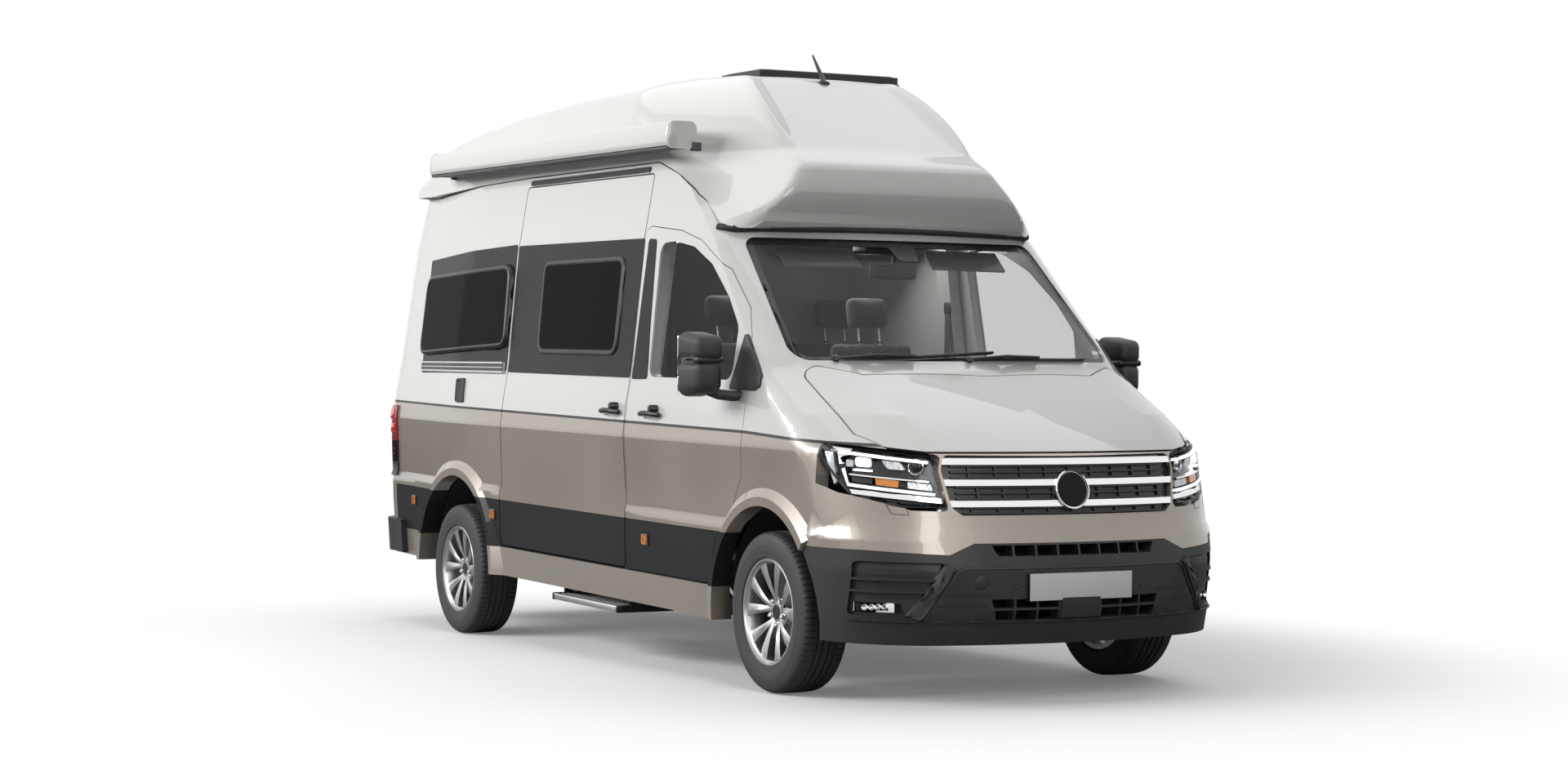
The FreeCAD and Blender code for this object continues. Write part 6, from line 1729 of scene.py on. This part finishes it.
# %% Dash and steering wheel
dash_black = moulded("dash_black_grain", (0.020, 0.020, 0.021), 0.62, grain=420.0, depth=0.35)
dress("dashboard", [dash_black], BODY_OF["dashboard"])
bm = bmesh.new()
add_block(bm, (1.345, 0.225, 1.360), (1.560, 0.575, 1.432), 0.032, 5)
add_block(bm, (1.338, 0.255, 1.300), (1.362, 0.545, 1.408), 0.010, 3, material=1)
add_block(bm, (1.306, -0.140, 1.185), (1.345, 0.140, 1.352), 0.012, 3)
add_block(bm, (1.3035, -0.120, 1.215), (1.3075, 0.120, 1.335), 0.003, 2, material=1)
add_block(bm, (1.312, -0.800, 1.090), (1.340, -0.220, 1.110), 0.006, 2, material=2)
add_block(bm, (1.312, -0.780, 0.960), (1.338, -0.260, 1.075), 0.012, 3)
for y in (-0.780, -0.215, 0.215, 0.780):
    spot = (1.330, y, 1.245)
    add_turned(bm, [(0.0, 0.0), (0.0, 0.056), (0.022, 0.056), (0.026, 0.050), (0.012, 0.044), (0.010, 0.0)],
               spot, (-1, 0, 0.12), 32, material=2)
    add_block(bm, (1.306, y - 0.042, 1.240), (1.316, y + 0.042, 1.250), 0.002, 1)
for z in (1.370, 1.362):
    add_block(bm, (1.42, -0.80, z + 0.012), (1.66, 0.19, z + 0.018), 0.004, 2)
finish_mesh("dash_details", bm, [dash_black, band_film, satin_black], "van_body")
LEAN, GRIP_REACH, GRIP_HALF = math.radians(28), 0.180, 0.0145
HUB, COLUMN = Vector((1.150, 0.400, 1.330)), Vector((-math.cos(LEAN), 0, math.sin(LEAN)))
bm = bmesh.new()
add_turned(bm, [(a, GRIP_REACH + b) for b, a in circle(0, 0, GRIP_HALF, 14)], HUB, COLUMN, 64)
add_turned(bm, [(-0.045, 0.0), (-0.045, 0.055), (-0.010, 0.078), (0.008, 0.076), (0.018, 0.055),
                (0.021, 0.0)], HUB, COLUMN, 40)
across, down = Vector((0, 1, 0)), COLUMN.cross(Vector((0, 1, 0))).normalized()
if down.z > 0:
    down = -down
for way, wide in ((across, 0.016), (-across, 0.016), (down, 0.020)):
    start, end = HUB + way * 0.060, HUB + way * 0.176
    for shift in (-0.5, 0.5):
        side = COLUMN.cross(way).normalized() * wide * shift
        add_tube(bm, [start + side - COLUMN * 0.002, (start + end) / 2 + side - COLUMN * 0.006,
                      end + side * 0.8], wide * 0.55, 10, 1)
add_turned(bm, [(-0.330, 0.0), (-0.330, 0.022), (-0.03, 0.022), (-0.03, 0.0)], HUB, COLUMN, 20, material=1)
wheel = finish_mesh("steering_wheel_grip", bm, [dash_black, satin_black], BODY_OF["steering_wheel"],
                    smooth=40)
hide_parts("steering_wheel")
print("dash and wheel are in")

# %% Door trims
for name, sign in (("right", -1), ("left", 1)):
    door_tree = tree_of("cab_door_" + name)

    def inner_door(x, z, lift):
        found = seat(door_tree, (x, 0, z), (0, sign, 0))
        if found is None:
            found = door_tree.find_nearest(Vector((x, sign * 0.86, z)))[0]
        return Vector((x, found.y - sign * lift, z))
    bm = bmesh.new()
    panel = [(0.700, 0.640), (1.460, 0.640), (1.580, 0.860), (1.690, 1.060), (1.690, 1.330), (0.690, 1.350)]
    add_stepped(bm, rounded(panel, 0.03, pitch=0.06), inner_door, [(0.006, 0.010, 0), (0.020, 0.014, 0)],
                base=0.0015)
    add_stepped(bm, rounded([(0.78, 1.01), (1.40, 1.03), (1.42, 1.09), (0.78, 1.10)], 0.02, pitch=0.06),
                inner_door, [(0.006, 0.050, 1), (0.016, 0.056, 1)], base=0.012)
    add_stepped(bm, rounded([(0.76, 0.66), (1.42, 0.66), (1.46, 0.80), (0.76, 0.80)], 0.02, pitch=0.06),
                inner_door, [(0.006, 0.040, 0), (0.014, 0.044, 0)], base=0.012)
    add_stepped(bm, circle(1.33, 0.915, 0.075, 28), inner_door, [(0.002, 0.018, 1), (0.006, 0.015, 1)],
                base=0.012)
    finish_mesh("door_trim_" + name, bm, [dash_black, satin_black], "cab_door_" + name)
print("door trims: 2")

# %% Visors, mirror, handles and belts
visor_cloth = woven("visor_cloth", (0.26, 0.26, 0.26), 140.0, 0.08)
STRAP_HALF_THICK = 0.0014


def add_strap(bm, points, across):
    """Flat webbing along a few points: across is half its width as a vector."""
    across = Vector(across)
    rows = []
    for i, point in enumerate(points):
        point = Vector(point)
        ahead = Vector(points[min(i + 1, len(points) - 1)]) - Vector(points[max(i - 1, 0)])
        out = ahead.cross(across).normalized() * STRAP_HALF_THICK
        corners = ((-across, -out), (across, -out), (across, out), (-across, out))
        rows.append([bm.verts.new(point + a + b) for a, b in corners])
    for a, b in zip(rows, rows[1:]):
        for k in range(4):
            bm.faces.new((a[k], a[(k + 1) % 4], b[(k + 1) % 4], b[k]))
    bm.faces.new(rows[0])
    bm.faces.new(rows[-1][::-1])


bm = bmesh.new()
for sign in (-1, 1):
    corners = [(1.310, sign * 0.610, 2.018), (1.310, sign * 0.210, 2.022), (1.425, sign * 0.190, 1.935),
               (1.425, sign * 0.600, 1.930)]
    add_slab(bm, corners, (0.010, 0, 0.013), 0.006, 3)
finish_mesh("sun_visors", bm, visor_cloth, "van_body")
bm = bmesh.new()
add_block(bm, (1.180, -0.110, 2.010), (1.330, 0.110, 2.062), 0.018, 4)
add_tube(bm, [Vector((1.395, 0.0, 2.000)), Vector((1.385, 0.0, 1.945))], 0.009, 12, 0)
add_block(bm, (1.372, -0.125, 1.890), (1.398, 0.125, 1.958), 0.012, 4)
add_block(bm, (1.3705, -0.117, 1.898), (1.3725, 0.117, 1.950), 0.0008, 1, material=1)
finish_mesh("inner_mirror", bm, [satin_black, mirror_silver], "van_body")
belt_web = woven("belt_webbing", (0.022, 0.022, 0.023), 300.0, 0.15)
bm = bmesh.new()
for sign in (-1, 1):
    add_strap(bm, [(0.585, sign * 0.795, 1.760), (0.575, sign * 0.800, 1.500), (0.570, sign * 0.805, 1.150),
                   (0.575, sign * 0.810, 0.760)], (0.023, 0, 0))
    add_block(bm, (0.555, sign * 0.800 - 0.012, 1.740), (0.615, sign * 0.800 + 0.012, 1.800), 0.006, 3,
              material=1)
    add_block(bm, (0.545, sign * 0.800 - 0.022, 0.700), (0.605, sign * 0.800 + 0.022, 0.790), 0.006, 3,
              material=1)
    add_tube(bm, [Vector((0.650, sign * 0.118, 0.900)), Vector((0.655, sign * 0.120, 1.020))], 0.011, 10, 1)
finish_mesh("belts", bm, [belt_web, satin_black], "van_body")
print("visors, mirror and belts are in")

# %% [markdown]
# Behind the seats the kitchen block and the washroom are plain painted furniture. Door and drawer fronts sit
# a few millimetres proud, with a worktop, a sink lid and push locks.

# %% Furniture fronts
dress("kitchen_unit", [furniture_white], BODY_OF["kitchen_unit"])
dress("washroom", [furniture_white], BODY_OF["washroom"])
bm = bmesh.new()
add_block(bm, (-1.246, -0.868, 1.5005), (-0.604, -0.334, 1.522), 0.005, 2, material=1)
for z0, z1 in ((0.640, 0.900), (0.912, 1.170), (1.182, 1.320), (1.332, 1.480)):
    add_block(bm, (-1.225, -0.341, z0), (-0.630, -0.330, z1), 0.003, 2)
    add_turned(bm, [(0.0, 0.0), (0.0, 0.015), (0.004, 0.014), (0.005, 0.0)], (-0.93, -0.330, z1 - 0.035),
               (0, 1, 0), 20, material=2)
add_block(bm, (-1.180, -0.780, 1.521), (-0.740, -0.430, 1.5285), 0.003, 2, material=3)
add_block(bm, (-1.230, 0.139, 0.640), (-0.560, 0.151, 2.250), 0.004, 2)
add_tube(bm, [Vector((-0.62, 0.138, 1.42)), Vector((-0.62, 0.118, 1.42)), Vector((-0.62, 0.118, 1.56)),
              Vector((-0.62, 0.138, 1.56))], 0.006, 10, 2)
finish_mesh("furniture_fronts", bm, [furniture_white, oak, chrome, band_film], "van_body")
print("furniture fronts are on")

# %% [markdown]
# The step below the sliding door is a drawn aluminium tread. It has a thick nose, grip ribs and black end
# caps, and it runs in two black guides that hang from the sill.

# %% Step tread and guides
bm = bmesh.new()
add_block(bm, (-0.318, -0.983, 0.264), (0.438, -0.952, 0.295), 0.007, 3)
for k in range(9):
    y = -0.940 + 0.026 * k
    add_block(bm, (-0.312, y, 0.291), (0.432, y + 0.010, 0.2945), 0.001, 1)
for x in (-0.334, 0.436):
    add_block(bm, (x, -0.985, 0.260), (x + 0.018, -0.690, 0.2965), 0.005, 2, material=1)
finish_mesh("step_tread", bm, [anodised, satin_black], BODY_OF["entry_step"])
bm = bmesh.new()
for x in (-0.300, 0.335):
    add_block(bm, (x, -0.900, 0.303), (x + 0.075, -0.640, 0.352), 0.006, 2)
finish_mesh("step_guides", bm, satin_black, "van_body")
print("step parts: 2")
